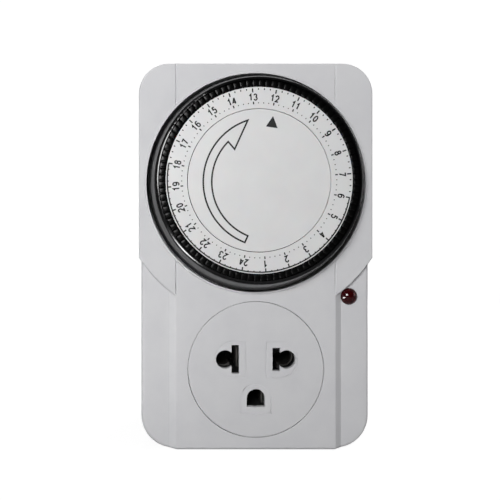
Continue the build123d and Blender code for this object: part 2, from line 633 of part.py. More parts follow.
with front_cover:
    add(lower_shell.part)
    add(hood_shell.part)
    prism(inner_outline, SEAM_DEPTH, PANEL_INSIDE, Mode.SUBTRACT)
    prism(deep_outline.sketch, PANEL_INSIDE, HOOD_INSIDE, Mode.SUBTRACT)
    bars([dial_place], WELL_RADIUS + WELL_WALL, WELL_BACK, CASE_DEPTH - SHELL_WALL / 2)
    bars([dial_place], WELL_RADIUS, WELL_TOP, CASE_DEPTH, Mode.SUBTRACT)
    with BuildSketch(Plane.XY.offset(band_join - 4 * EDGE_ROUND)):
        with Locations((-BAND_WIDTH / 2, -CASE_DEPTH), (BAND_WIDTH / 2, -CASE_DEPTH)):
            Polygon((-GROOVE_WIDTH / 2, 0), (GROOVE_WIDTH / 2, 0), (0, GROOVE_DEPTH), align=None)
    extrude(amount=CASE_TOP - CASE_BOTTOM, mode=Mode.SUBTRACT)
    turned(
        [
            (WELL_RADIUS, CASE_DEPTH - LIP_HEIGHT),
            (WELL_RADIUS, CASE_DEPTH + LIP_HEIGHT),
            (WELL_RADIUS + LIP_WIDTH / 2, CASE_DEPTH + LIP_HEIGHT),
            (WELL_RADIUS + LIP_WIDTH, CASE_DEPTH),
            (WELL_RADIUS + LIP_WIDTH, CASE_DEPTH - LIP_HEIGHT),
        ],
        *dial_place,
    )
    # Post that the dial turns on, with its screw hole
    bars([dial_place], POST_RADIUS, WELL_BACK, POST_TOP)
    bars([dial_place], screw_hole, WELL_TOP + POST_HOLE_FLOOR, POST_TOP, Mode.SUBTRACT)
    # Way through the well floor for the output pinion and for the lever's nose
    pinion_tip = DIAL_MODULE * (DIAL_PINION_TEETH / 2 + ADDENDUM)
    bars([output_place], pinion_tip + PINION_WINDOW, WELL_BACK, WELL_TOP, Mode.SUBTRACT)
    nose_swing = (TAPPET_BOTTOM - LEVER_PIVOT_DEPTH) * sin(radians(LEVER_SWING))
    block(
        (nose_x - NOSE_WIDTH / 2 - WINDOW_CLEARANCE, nose_x + NOSE_WIDTH / 2 + nose_swing + WINDOW_CLEARANCE),
        (nose_z - NOSE_RADIAL / 2 - WINDOW_CLEARANCE, nose_z + NOSE_RADIAL / 2 + WINDOW_CLEARANCE),
        WELL_BACK,
        WELL_TOP,
        Mode.SUBTRACT,
    )
    # Two ribs that hold the snap switch and the lever's pivot pin
    for side in (-1, 1):
        block(
            (switch_left, switch_right),
            sorted((nose_z + side * rib_inner, nose_z + side * (rib_inner + RIB_WALL))),
            RIB_BACK_DEPTH,
            WELL_BACK,
        )
    upright_pins(
        [(pivot_x, LEVER_PIVOT_DEPTH)] + switch_pins,
        PIVOT_PIN_RADIUS + PIN_FIT,
        nose_z - rib_inner - 2 * RIB_WALL,
        nose_z + rib_inner + 2 * RIB_WALL,
        Mode.SUBTRACT,
    )
    # Bosses for the movement, the outlet insert and the case screws
    bars(pillars, PILLAR_RADIUS, FRONT_PLATE_DEPTH, WELL_BACK + WELL_FLOOR / 2)
    pillar_hole_end = WELL_TOP - PILLAR_SCREW_FLOOR + SCREW_SPARE
    bars(pillars, screw_hole, FRONT_PLATE_DEPTH, pillar_hole_end, Mode.SUBTRACT)
    bars(ear_places, EAR_BOSS_RADIUS, ear_front + SEAM_GAP, PANEL_DEPTH - SHELL_WALL / 4)
    bars(ear_places, screw_hole, ear_front, insert_screw_end + SCREW_SPARE, Mode.SUBTRACT)
    bars(CASE_SCREWS, CASE_BOSS_RADIUS, SEAM_DEPTH, PANEL_DEPTH - SHELL_WALL / 4)
    screw_end = CASE_SEAT_DEPTH + CASE_SCREW_LENGTH + CASE_HOLE_SPARE
    bars(CASE_SCREWS, CASE_SCREW_RADIUS + SLIP_FIT, SEAM_DEPTH, screw_end, Mode.SUBTRACT)
    # Openings in the front for the outlet insert and the indicator lens
    bars([(0, SOCKET_Z)], INSERT_RADIUS + INSERT_GAP, PANEL_INSIDE - SHELL_WALL, CASE_DEPTH, Mode.SUBTRACT)
    bars([(LAMP_X, LAMP_Z)], LENS_RADIUS + SLIP_FIT, PANEL_INSIDE, CASE_DEPTH, Mode.SUBTRACT)
    # Finger recess and slot for the override knob in the right-hand wall
    knob_place = (LOWER_WIDTH / 2, -OVERRIDE_DEPTH, OVERRIDE_Z)
    knob_wall = Plane(origin=knob_place, x_dir=(0, 0, 1), z_dir=(-1, 0, 0))
    with BuildSketch(knob_wall):
        RectangleRounded(knob_slot + 2 * RECESS_MARGIN, KNOB_WIDTH + 2 * RECESS_MARGIN, RECESS_MARGIN)
    extrude(amount=RECESS_DEPTH, taper=RECESS_TAPER, mode=Mode.SUBTRACT)
    with BuildSketch(knob_wall):
        Rectangle(knob_slot, KNOB_WIDTH + 2 * KNOB_CLEARANCE)
    extrude(amount=SHELL_WALL, mode=Mode.SUBTRACT)
finish(front_cover.part, "front_cover")

# ---------------------------------------------------------------- rear cover
foot_end = BLADE_X + BLADE_THICKNESS / 2 + FOOT_REACH
block_x = foot_end + PIN_BLOCK_MARGIN
block_z = (-PIN_BLOCK_HALF, PIN_BLOCK_HALF)
with BuildPart() as rear_cover:
    prism(lower_outline, 0, SEAM_DEPTH)
    fillet(rear_cover.faces().sort_by(Axis.Y)[-1].edges(), BACK_ROUND)
    prism(hood_outline.sketch, BACK_ROUND, SEAM_DEPTH)
    prism(band_foot_outline.sketch, BACK_ROUND, SEAM_DEPTH)
    prism(inner_outline, REAR_WALL, SEAM_DEPTH, Mode.SUBTRACT)
    # Tongue that locates the front cover
    with BuildSketch(at_depth(SEAM_DEPTH - SEAM_LIP_HEIGHT)):
        offset(inner_outline, amount=SEAM_LIP_WALL)
        offset(inner_outline, amount=-SEAM_GAP - SEAM_LIP_WALL, mode=Mode.SUBTRACT)
    extrude(amount=SEAM_LIP_HEIGHT)
    with BuildSketch(at_depth(SEAM_DEPTH)):
        offset(inner_outline, amount=-SEAM_GAP)
        offset(inner_outline, amount=-SEAM_GAP - SEAM_LIP_WALL, mode=Mode.SUBTRACT)
    extrude(amount=SEAM_LIP_HEIGHT)
    # Bare label field
    label_x = (-LABEL_WIDTH / 2, LABEL_WIDTH / 2)
    block(label_x, (LABEL_BASE, LABEL_BASE + LABEL_HEIGHT), 0, LABEL_DEPTH, Mode.SUBTRACT)
    # Columns for the case screws
    bars(CASE_SCREWS, CASE_COLUMN_RADIUS, REAR_WALL / 2, SEAM_DEPTH - SEAM_GAP)
    bars(CASE_SCREWS, CASE_HEAD_RADIUS + SCREW_CLEARANCE, 0, CASE_SEAT_DEPTH, Mode.SUBTRACT)
    bars(CASE_SCREWS, CASE_SCREW_RADIUS + SCREW_CLEARANCE, CASE_SEAT_DEPTH, SEAM_DEPTH, Mode.SUBTRACT)
    # Pin block: one height under the live blade's foot, a higher one under the neutral's and the earth's
    live_seat = LIVE_FOOT_DEPTH - SLIP_FIT
    high_seat = NEUTRAL_FOOT_DEPTH - SLIP_FIT
    block((-block_x, block_x), (-EARTH_DROP - PIN_BLOCK_BELOW, PIN_BLOCK_HALF), REAR_WALL / 2, live_seat)
    block((-foot_end, -CHAMBER_INNER_X - SLIP_FIT), block_z, live_seat, high_seat)
    block((foot_end + FOOT_SIDE_GAP, block_x), block_z, live_seat, STRAP_BACK - SLIP_FIT)
    bars([(0, -EARTH_DROP)], EARTH_COLLAR_RADIUS + COLLAR_SEAT, live_seat, high_seat)
    for blade_x in (-BLADE_X, BLADE_X):
        half_thickness = BLADE_THICKNESS / 2 + SLIP_FIT
        half_width = BLADE_WIDTH / 2 + SLIP_FIT
        slot_x = (blade_x - half_thickness, blade_x + half_thickness)
        block(slot_x, (-half_width, half_width), 0, high_seat, Mode.SUBTRACT)
    bars([(0, -EARTH_DROP)], EARTH_SHANK_RADIUS + SLIP_FIT, 0, high_seat, Mode.SUBTRACT)
    rivet_pocket = high_seat - RIVET_RECESS
    bars([(-RIVET_X, 0)], RIVET_HEAD_RADIUS + SCREW_CLEARANCE, rivet_pocket, high_seat, Mode.SUBTRACT)
finish(rear_cover.part, "rear_cover")

with BuildPart() as case_screws:
    bars(CASE_SCREWS, CASE_SCREW_RADIUS, CASE_SEAT_DEPTH, CASE_SEAT_DEPTH + CASE_SCREW_LENGTH)
    bars(CASE_SCREWS, CASE_HEAD_RADIUS, CASE_SEAT_DEPTH - CASE_HEAD_HEIGHT, CASE_SEAT_DEPTH)
    with BuildSketch(at_depth(CASE_SEAT_DEPTH - CASE_HEAD_HEIGHT)):
        with Locations(*CASE_SCREWS):
            Rectangle(CROSS_LENGTH, CROSS_WIDTH)
            Rectangle(CROSS_WIDTH, CROSS_LENGTH)
    extrude(amount=CROSS_DEPTH, mode=Mode.SUBTRACT)
finish(case_screws.part, "case_screws")

# ---------------------------------------------------------------- outlet insert
left_chamber = (-CHAMBER_OUTER_X, -CHAMBER_INNER_X)
right_chamber = (CHAMBER_INNER_X, CHAMBER_OUTER_X)
chamber_z = (-CHAMBER_HALF_HEIGHT, CHAMBER_HALF_HEIGHT)
earth_chamber_x = (-EARTH_CHAMBER_HALF, EARTH_CHAMBER_HALF)
earth_chamber_z = (EARTH_HOLE_BOTTOM - EARTH_CHAMBER_MARGIN, EARTH_HOLE_TOP + EARTH_CHAMBER_MARGIN)
chambers = (
    (left_chamber, chamber_z),
    (right_chamber, chamber_z),
    (earth_chamber_x, earth_chamber_z),
)


def widened(span, margin):
    """Span made longer by a margin at both ends."""
    return (span[0] - margin, span[1] + margin)


def arch(half_width, bottom, top):
    """Outline with a flat foot and a half-round head."""
    with BuildSketch() as outline:
        with Locations((0, (bottom + top - half_width) / 2)):
            Rectangle(2 * half_width, top - half_width - bottom)
        with Locations((0, top - half_width)):
            Circle(half_width)
    return outline.sketch


def pin_field(side):
    """Outline moulded round a pair of pin holes: half round outside, flat inside."""
    centre = FIELD_OUTER - FIELD_HALF_HEIGHT
    with BuildSketch() as outline:
        with Locations((side * centre, 0)):
            Circle(FIELD_HALF_HEIGHT)
        with Locations((side * (centre - FIELD_OUTER) / 2, 0)):
            Rectangle(centre + FIELD_OUTER, 2 * FIELD_HALF_HEIGHT, mode=Mode.SUBTRACT)
        with Locations((side * (centre + FIELD_INNER) / 2, 0)):
            Rectangle(centre - FIELD_INNER, 2 * FIELD_HALF_HEIGHT)
    return outline.sketch


with BuildPart() as socket_insert:
    bars([(0, SOCKET_Z)], INSERT_RADIUS, INSERT_BACK, CASE_DEPTH)
    bars([(0, SOCKET_Z)], INSERT_BACKING_RADIUS, BACKING_BACK, INSERT_BACK)
    fillet(socket_insert.faces().sort_by(Axis.Y)[0].edges(), EDGE_ROUND / 4)
    ear_z = (SOCKET_Z - EAR_HALF_HEIGHT, SOCKET_Z + EAR_HALF_HEIGHT)
    block((-EAR_REACH, EAR_REACH), ear_z, ear_back, ear_front)
    bars(ear_places, EAR_HALF_HEIGHT, ear_back, ear_front)
    bars(ear_places, screw_hole, ear_back, ear_front, Mode.SUBTRACT)
    for x_span, z_span in chambers:
        box_x, box_z = widened(x_span, CHAMBER_WALL), widened(z_span, CHAMBER_WALL)
        block(box_x, box_z, CHAMBER_BACK_DEPTH, BACKING_BACK)
    for x_span, z_span in chambers:
        block(x_span, z_span, CHAMBER_BACK_DEPTH, INSERT_BACK, Mode.SUBTRACT)
    for side, slot_height in ((-1, NEUTRAL_SLOT), (1, LIVE_SLOT)):
        slot_x = (side * BLADE_X - SLOT_WIDTH / 2, side * BLADE_X + SLOT_WIDTH / 2)
        block(slot_x, (-slot_height / 2, slot_height / 2), INSERT_BACK, CASE_DEPTH, Mode.SUBTRACT)
        bars([(side * ROUND_X, 0)], ROUND_HOLE_RADIUS, INSERT_BACK, CASE_DEPTH, Mode.SUBTRACT)
    earth_hole = arch(EARTH_HOLE_WIDTH / 2, EARTH_HOLE_BOTTOM, EARTH_HOLE_TOP)
    prism(earth_hole, INSERT_BACK, CASE_DEPTH, Mode.SUBTRACT)
    # Fine moulded outlines round the three holes
    fields = [pin_field(-1), pin_field(1), arch(EARTH_FIELD_HALF, EARTH_FIELD_BOTTOM, EARTH_FIELD_TOP)]
    for field in fields:
        with BuildSketch(at_depth(CASE_DEPTH - OUTLINE_DEPTH)):
            add(field)
            offset(field, amount=-OUTLINE_WIDTH, mode=Mode.SUBTRACT)
        extrude(amount=OUTLINE_DEPTH, mode=Mode.SUBTRACT)
finish(socket_insert.part, "socket_insert")

with BuildPart() as insert_screws:
    bars(ear_places, SMALL_SCREW_RADIUS, ear_back, insert_screw_end)
    bars(ear_places, SMALL_HEAD_RADIUS, ear_back - SMALL_HEAD_HEIGHT, ear_back)
finish(insert_screws.part, "insert_screws")


# ---------------------------------------------------------------- contacts, blades and earth pin
def pin_contact(side, foot_hole):
    """Sheet brass contact of one pole: a strap, a flat leaf and a leaf curved round the round pin."""
    strap_inner = CHAMBER_INNER_X - STRAP_INNER_MARGIN
    strap_outer = CHAMBER_OUTER_X + STRAP_OUTER_MARGIN
    strap_x = sorted((side * strap_inner, side * strap_outer))
    block(strap_x, widened(chamber_z, CHAMBER_WALL), STRAP_BACK, STRAP_FRONT)
    sleeve_end = side * (ROUND_X - SLEEVE_OPENING)
    cut = 4 * SLEEVE_RADIUS
    with BuildSketch(at_depth(STRAP_FRONT)) as leaves:
        with Locations((side * ROUND_X, 0)):
            Circle(SLEEVE_RADIUS + LEAF)
            Circle(SLEEVE_RADIUS, mode=Mode.SUBTRACT)
        with Locations((sleeve_end - side * cut / 2, 0)):
            Rectangle(cut, cut, mode=Mode.SUBTRACT)
        wing_start = sqrt(SLEEVE_RADIUS**2 - SLEEVE_OPENING**2)
        for end in (-1, 1):
            with Locations((sleeve_end, end * (wing_start + WING_TOP) / 2)):
                Rectangle(LEAF, WING_TOP - wing_start)
        with Locations((side * (INNER_LEAF_X - LEAF / 2), 0)):
            Rectangle(LEAF, 2 * INNER_LEAF_HALF)
    extrude(leaves.sketch, amount=LEAF_FRONT_DEPTH - STRAP_FRONT)
    if foot_hole:
        bars([(side * RIVET_X, 0)], RIVET_RADIUS + PIN_FIT, STRAP_BACK, STRAP_FRONT, Mode.SUBTRACT)


def flat_blade(side, foot_back):
    """Flat blade of the plug with a foot bent outwards at its inner end."""
    blade_x = (side * BLADE_X - BLADE_THICKNESS / 2, side * BLADE_X + BLADE_THICKNESS / 2)
    block(blade_x, (-BLADE_WIDTH / 2, BLADE_WIDTH / 2), -BLADE_LENGTH, foot_back + BLADE_THICKNESS)
    tip = Plane(origin=(side * BLADE_X, BLADE_LENGTH, 0), x_dir=(1, 0, 0), z_dir=(0, 0, 1))
    with BuildSketch(tip) as corners:
        for edge in (-1, 1):
            Polygon(
                (edge * BLADE_THICKNESS / 2, 0),
                (edge * BLADE_THICKNESS / 2, -BLADE_TIP),
                (edge * BLADE_TIP_HALF, 0),
                align=None,
            )
    extrude(corners.sketch, amount=BLADE_WIDTH / 2, both=True, mode=Mode.SUBTRACT)
    foot_x = sorted((side * BLADE_X, side * (BLADE_X + BLADE_THICKNESS / 2 + FOOT_REACH)))
    block(foot_x, (-BLADE_WIDTH / 2, BLADE_WIDTH / 2), foot_back, foot_back + BLADE_THICKNESS)


with BuildPart() as neutral_contact:
    pin_contact(-1, foot_hole=True)
finish(neutral_contact.part, "neutral_contact")

with BuildPart() as live_contact:
    pin_contact(1, foot_hole=False)
finish(live_contact.part, "live_contact")

with BuildPart() as neutral_blade:
    flat_blade(-1, NEUTRAL_FOOT_DEPTH)
    neutral_foot = (NEUTRAL_FOOT_DEPTH, NEUTRAL_FOOT_DEPTH + BLADE_THICKNESS)
    bars([(-RIVET_X, 0)], RIVET_RADIUS + PIN_FIT, *neutral_foot, Mode.SUBTRACT)
finish(neutral_blade.part, "neutral_blade")

with BuildPart() as live_blade:
    flat_blade(1, LIVE_FOOT_DEPTH)
finish(live_blade.part, "live_blade")

with BuildPart() as earth_contact:
    earth_strap = (-EARTH_DROP - BLADE_WIDTH / 2, -EARTH_DROP + BLADE_WIDTH / 2)
    block(widened(earth_chamber_x, CHAMBER_WALL / 2), earth_strap, STRAP_BACK, STRAP_FRONT)
    for side in (-1, 1):
        leaf_x = sorted((side * EARTH_LEAF_X, side * (EARTH_LEAF_X + LEAF)))
        block(leaf_x, earth_strap, STRAP_FRONT, LEAF_FRONT_DEPTH)
    bars([(0, -EARTH_DROP)], RIVET_RADIUS + PIN_FIT, STRAP_BACK, STRAP_FRONT, Mode.SUBTRACT)
finish(earth_contact.part, "earth_contact")

with BuildPart() as earth_pin:
    bars([(0, -EARTH_DROP)], EARTH_PIN_RADIUS, -EARTH_PIN_LENGTH, -EARTH_ROOT)
    fillet(earth_pin.edges().sort_by(Axis.Y)[-1], EARTH_TIP_ROUND)
    bars([(0, -EARTH_DROP)], EARTH_SHANK_RADIUS, -EARTH_ROOT, STRAP_BACK)
    bars([(0, -EARTH_DROP)], EARTH_COLLAR_RADIUS, NEUTRAL_FOOT_DEPTH, STRAP_BACK)
    # Spigot through the contact's strap, riveted over in front
    bars([(0, -EARTH_DROP)], RIVET_RADIUS, STRAP_BACK, STRAP_FRONT + RIVET_HEAD)
    bars([(0, -EARTH_DROP)], RIVET_HEAD_RADIUS, STRAP_FRONT, STRAP_FRONT + RIVET_HEAD)
finish(earth_pin.part, "earth_pin")

with BuildPart() as contact_rivet:
    bars([(-RIVET_X, 0)], RIVET_RADIUS, NEUTRAL_FOOT_DEPTH - RIVET_HEAD, STRAP_FRONT + RIVET_HEAD)
    bars([(-RIVET_X, 0)], RIVET_HEAD_RADIUS, NEUTRAL_FOOT_DEPTH - RIVET_HEAD, NEUTRAL_FOOT_DEPTH)
    bars([(-RIVET_X, 0)], RIVET_HEAD_RADIUS, STRAP_FRONT, STRAP_FRONT + RIVET_HEAD)
finish(contact_rivet.part, "contact_rivet")

# ---------------------------------------------------------------- dial
with BuildPart() as dial_drum:
    turned(
        [
            (CHANNEL_OUTER, RIM_TOP),
            (CHANNEL_OUTER, CHANNEL_BOTTOM),
            (CHANNEL_INNER, CHANNEL_BOTTOM),
            (CHANNEL_INNER, FACE_BACK),
            (CHANNEL_INNER - RING_WALL, FACE_BACK),
            (CHANNEL_INNER - RING_WALL, WEB_FRONT),
            (NUMBER_RING_INNER + RING_WALL, WEB_FRONT),
            (NUMBER_RING_INNER + RING_WALL, FACE_BACK),
            (NUMBER_RING_INNER, FACE_BACK),
            (NUMBER_RING_INNER, WEB_FRONT),
            (HUB_RADIUS, WEB_FRONT),
            (HUB_RADIUS, HUB_FRONT),
            (POST_RADIUS + RUNNING_FIT, HUB_FRONT),
            (POST_RADIUS + RUNNING_FIT, HUB_BACK),
            (HUB_RADIUS, HUB_BACK),
            (HUB_RADIUS, WEB_BACK),
            (DIAL_GEAR_ROOT, WEB_BACK),
            (DIAL_GEAR_ROOT, DIAL_GEAR_BACK),
            (DIAL_GEAR_ROOT + DIAL_GEAR_WALL, DIAL_GEAR_BACK),
            (DIAL_GEAR_ROOT + DIAL_GEAR_WALL, CHANNEL_BACK),
            (DIAL_RADIUS - SKIRT_WALL, CHANNEL_BACK),
            (DIAL_RADIUS - SKIRT_WALL, SKIRT_BOTTOM),
            (DIAL_RADIUS, SKIRT_BOTTOM),
            (DIAL_RADIUS, RIM_TOP - RIM_SLOPE_DEPTH),
            (CHANNEL_OUTER + RIM_LAND, RIM_TOP),
        ],
        *dial_place,
    )
    rim_edges = dial_drum.edges().filter_by(GeomType.CIRCLE).group_by(Axis.Y)[0]
    fillet(rim_edges.sort_by(SortBy.RADIUS)[-1], RIM_ROUND)
    # Inside gear under the web
    with BuildSketch(at_depth(DIAL_GEAR_BACK)):
        with Locations(dial_place):
            Circle(DIAL_GEAR_ROOT + DIAL_GEAR_WALL / 2)
            add(toothed_outline(DIAL_GEAR_TEETH, DIAL_MODULE, MIDNIGHT_ANGLE, outward=-1), mode=Mode.SUBTRACT)
    extrude(amount=DIAL_GEAR_WIDTH)
    # Windows that the tappet feet pass through
    with BuildSketch(at_depth(CHANNEL_BACK)):
        with Locations(dial_place):
            with PolarLocations(TAPPET_RADIUS, TAPPETS, start_angle=MIDNIGHT_ANGLE + TAPPET_PITCH / 2):
                Rectangle(FOOT_LENGTH + 2 * FOOT_CLEARANCE, FOOT_WIDTH + 2 * FOOT_CLEARANCE)
    extrude(amount=CHANNEL_FLOOR, mode=Mode.SUBTRACT)
finish(dial_drum.part, "dial_drum")

with BuildPart() as number_ring:
    turned(
        [
            (NUMBER_RING_INNER, FACE_BACK),
            (NUMBER_RING_OUTER, FACE_BACK),
            (NUMBER_RING_OUTER, FACE_FRONT),
            (NUMBER_RING_INNER, FACE_FRONT),
        ],
        0,
        DIAL_Z,
    )
finish(number_ring.part, "number_ring")

with BuildPart() as dial_retainer:
    bars([dial_place], RETAINER_RADIUS, POST_TOP, FACE_BACK)
    bars([dial_place], RETAINER_RADIUS - RETAINER_WALL, RETAINER_FRONT, FACE_BACK, Mode.SUBTRACT)
    bars([dial_place], screw_hole, POST_TOP, RETAINER_FRONT, Mode.SUBTRACT)
finish(dial_retainer.part, "dial_retainer")

with BuildPart() as dial_screw:
    bars([dial_place], SMALL_SCREW_RADIUS, WELL_TOP + DIAL_SCREW_FLOOR, RETAINER_FRONT)
    bars([dial_place], SMALL_HEAD_RADIUS, RETAINER_FRONT, RETAINER_FRONT + DIAL_HEAD_HEIGHT)
finish(dial_screw.part, "dial_screw")

with BuildPart() as centre_disc:
    spigot_radius = RETAINER_RADIUS - RETAINER_WALL - SLIP_FIT
    bars([dial_place], CENTRE_DISC_RADIUS, FACE_BACK, FACE_FRONT)
    spigot_back = RETAINER_FRONT + SPIGOT_GAP
    bars([dial_place], spigot_radius, spigot_back, FACE_BACK)
    bars([dial_place], spigot_radius - RETAINER_WALL, spigot_back, FACE_BACK, Mode.SUBTRACT)
finish(centre_disc.part, "centre_disc")

# Tappets: eight in a row mark two hours
inner_face = CHANNEL_INNER + TAPPET_SLIDE
outer_face = CHANNEL_OUTER - TAPPET_SLIDE
inner_half = inner_face * tan(radians(TAPPET_PITCH / 2)) - TAPPET_GAP / 2
outer_half = outer_face * tan(radians(TAPPET_PITCH / 2)) - TAPPET_GAP / 2
outer_face = sqrt(outer_face**2 - outer_half**2)
with BuildSketch() as tappet_head:
    Polygon(
        (inner_face - TAPPET_RADIUS, -inner_half),
        (outer_face - TAPPET_RADIUS, -outer_half),
        (outer_face - TAPPET_RADIUS, outer_half),
        (inner_face - TAPPET_RADIUS, inner_half),
        align=None,
    )
for group in range(TAPPETS // TAPPETS_IN_GROUP):
    first_angle = MIDNIGHT_ANGLE + (group * TAPPETS_IN_GROUP + 0.5) * TAPPET_PITCH
    group_range = TAPPETS_IN_GROUP * TAPPET_PITCH
    with BuildPart() as tappets:
        with BuildSketch(at_depth(TAPPET_SHOULDER)):
            with Locations(dial_place):
                with PolarLocations(TAPPET_RADIUS, TAPPETS_IN_GROUP, first_angle, group_range):
                    add(tappet_head.sketch)
        extrude(amount=TAPPET_HEAD)
        with BuildSketch(at_depth(TAPPET_BOTTOM)):
            with Locations(dial_place):
                with PolarLocations(TAPPET_RADIUS, TAPPETS_IN_GROUP, first_angle, group_range):
                    Rectangle(FOOT_LENGTH, FOOT_WIDTH)
        extrude(amount=TAPPET_FOOT)
    first_hour = group * TAPPETS_IN_GROUP // TAPPETS_TO_HOUR
    finish(tappets.part, f"tappets_{first_hour:02d}_to_{first_hour + 2:02d}")

# ---------------------------------------------------------------- gear train and motor
dial_gear_share = (OUTPUT_DIRECTION - MIDNIGHT_ANGLE) * DIAL_GEAR_TEETH / 360
dial_pinion_phase = OUTPUT_DIRECTION - (dial_gear_share - 0.5) * 360 / DIAL_PINION_TEETH
wheel_depths = [FIRST_WHEEL + level * WHEEL_PITCH for level in range(4)]
hub_back = REAR_PLATE_FRONT + END_PLAY
hub_front = FRONT_PLATE_BACK - END_PLAY

# Phases, from the rotor's pinion towards the output shaft
rotor_phase = 0.0
directions = [direction + 180 for direction in reversed(TRAIN_DIRECTIONS)]
first_phase = outside_mesh(rotor_phase, PINION_TEETH, directions[0], WHEEL_TEETH)
second_phase = outside_mesh(rotor_phase, PINION_TEETH, directions[1], WHEEL_TEETH)
third_phase = outside_mesh(rotor_phase, PINION_TEETH, directions[2], WHEEL_TEETH)
fourth_phase = outside_mesh(rotor_phase, PINION_TEETH, directions[3], WHEEL_TEETH)
pinion_outline = toothed_outline(PINION_TEETH, TRAIN_MODULE, rotor_phase)


def train_wheel(place, level, phase):
    """Wheel with its pinion in front of it and a hub that turns on a fixed arbor."""
    wheel_back = wheel_depths[level]
    gear(toothed_outline(WHEEL_TEETH, TRAIN_MODULE, phase), place, wheel_back, wheel_back + WHEEL_WIDTH)
    pinion_front = wheel_back + WHEEL_PITCH + WHEEL_WIDTH + PINION_OVERRUN
    gear(pinion_outline, place, wheel_back + WHEEL_WIDTH, pinion_front)
    bars([place], WHEEL_HUB_RADIUS, hub_back, hub_front)
    bars([place], ARBOR_RADIUS + RUNNING_FIT, hub_back, hub_front, Mode.SUBTRACT)


with BuildPart() as first_wheel:
    train_wheel(first_place, 0, first_phase)
finish(first_wheel.part, "first_wheel")

with BuildPart() as second_wheel:
    train_wheel(second_place, 1, second_phase)
finish(second_wheel.part, "second_wheel")

with BuildPart() as third_wheel:
    train_wheel(third_place, 2, third_phase)
finish(third_wheel.part, "third_wheel")

clutch_back = wheel_depths[3] - CLUTCH_HUB_LENGTH
clutch_front = wheel_depths[3] + WHEEL_WIDTH
with BuildPart() as clutch_wheel:
    clutch_outline = toothed_outline(WHEEL_TEETH, TRAIN_MODULE, fourth_phase)
    gear(clutch_outline, output_place, wheel_depths[3], clutch_front)
    bars([output_place], CLUTCH_HUB_RADIUS, clutch_back, clutch_front)
    bars([output_place], OUTPUT_SHAFT_RADIUS + RUNNING_FIT, clutch_back, clutch_front, Mode.SUBTRACT)
finish(clutch_wheel.part, "clutch_wheel")

spring_back = clutch_front + CLUTCH_GAP
spring_front = spring_back + CLUTCH_SPRING_THICKNESS
with BuildPart() as clutch_spring:
    bars([output_place], CLUTCH_COLLAR_RADIUS, spring_back, spring_front)
    bars([output_place], OUTPUT_SHAFT_RADIUS + PIN_FIT, spring_back, spring_front, Mode.SUBTRACT)
finish(clutch_spring.part, "clutch_spring")

with BuildPart() as output_pinion:
    bars([output_place], OUTPUT_SHAFT_RADIUS, REAR_PLATE_BACK + END_PLAY, DIAL_PINION_BACK)
    bars([output_place], CLUTCH_SHOULDER_RADIUS, hub_back, clutch_back - CLUTCH_GAP)
    bars([output_place], CLUTCH_COLLAR_RADIUS, spring_front, FRONT_PLATE_BACK - END_PLAY)
    dial_pinion = toothed_outline(DIAL_PINION_TEETH, DIAL_MODULE, dial_pinion_phase)
    gear(dial_pinion, output_place, DIAL_PINION_BACK, DIAL_PINION_BACK + DIAL_PINION_WIDTH)
finish(output_pinion.part, "output_pinion")

with BuildPart() as gear_arbors:
    arbor_places = [first_place, second_place, third_place]
    bars(arbor_places, ARBOR_RADIUS, REAR_PLATE_BACK + END_PLAY, FRONT_PLATE_DEPTH - END_PLAY)
finish(gear_arbors.part, "gear_arbors")

with BuildSketch() as plate_outline:
    plate_shift = ((PLATE_RIGHT_REACH - PLATE_LEFT_REACH) / 2, (PLATE_HIGH_REACH - PLATE_LOW_REACH) / 2)
    with Locations((output_place[0] + plate_shift[0], output_place[1] + plate_shift[1])):
        plate_size = (PLATE_LEFT_REACH + PLATE_RIGHT_REACH, PLATE_LOW_REACH + PLATE_HIGH_REACH)
        RectangleRounded(*plate_size, PLATE_ROUND)

shaft_hole = OUTPUT_SHAFT_RADIUS + RUNNING_FIT
with BuildPart() as front_plate:
    prism(plate_outline.sketch, FRONT_PLATE_BACK, FRONT_PLATE_DEPTH)
    bars(pillars, screw_hole, FRONT_PLATE_BACK, FRONT_PLATE_DEPTH, Mode.SUBTRACT)
    bars(arbor_places, ARBOR_RADIUS + PIN_FIT, FRONT_PLATE_BACK, FRONT_PLATE_DEPTH, Mode.SUBTRACT)
    bars([output_place], shaft_hole, FRONT_PLATE_BACK, FRONT_PLATE_DEPTH, Mode.SUBTRACT)
finish(front_plate.part, "front_plate")

motor_ears = [polar(motor_place, MOTOR_EAR_REACH, angle) for angle in MOTOR_EARS]
with BuildPart() as rear_plate:
    prism(plate_outline.sketch, REAR_PLATE_BACK, REAR_PLATE_FRONT)
    bars(pillars, PILLAR_RADIUS, REAR_PLATE_FRONT, FRONT_PLATE_BACK)
    bars(pillars, screw_hole, REAR_PLATE_BACK, FRONT_PLATE_BACK, Mode.SUBTRACT)
    bars(arbor_places, ARBOR_RADIUS + PIN_FIT, REAR_PLATE_BACK, REAR_PLATE_FRONT, Mode.SUBTRACT)
    bars([output_place], shaft_hole, REAR_PLATE_BACK, REAR_PLATE_FRONT, Mode.SUBTRACT)
    bars([motor_place], ARBOR_RADIUS + RUNNING_FIT, REAR_PLATE_BACK, REAR_PLATE_FRONT, Mode.SUBTRACT)
    bars(motor_ears, screw_hole, REAR_PLATE_BACK, REAR_PLATE_FRONT, Mode.SUBTRACT)
finish(rear_plate.part, "rear_plate")

with BuildPart() as movement_screws:
    bars(pillars, SMALL_SCREW_RADIUS, REAR_PLATE_BACK, WELL_TOP - PILLAR_SCREW_FLOOR)
    bars(pillars, SMALL_HEAD_RADIUS, REAR_PLATE_BACK - SMALL_HEAD_HEIGHT, REAR_PLATE_BACK)
finish(movement_screws.part, "movement_screws")

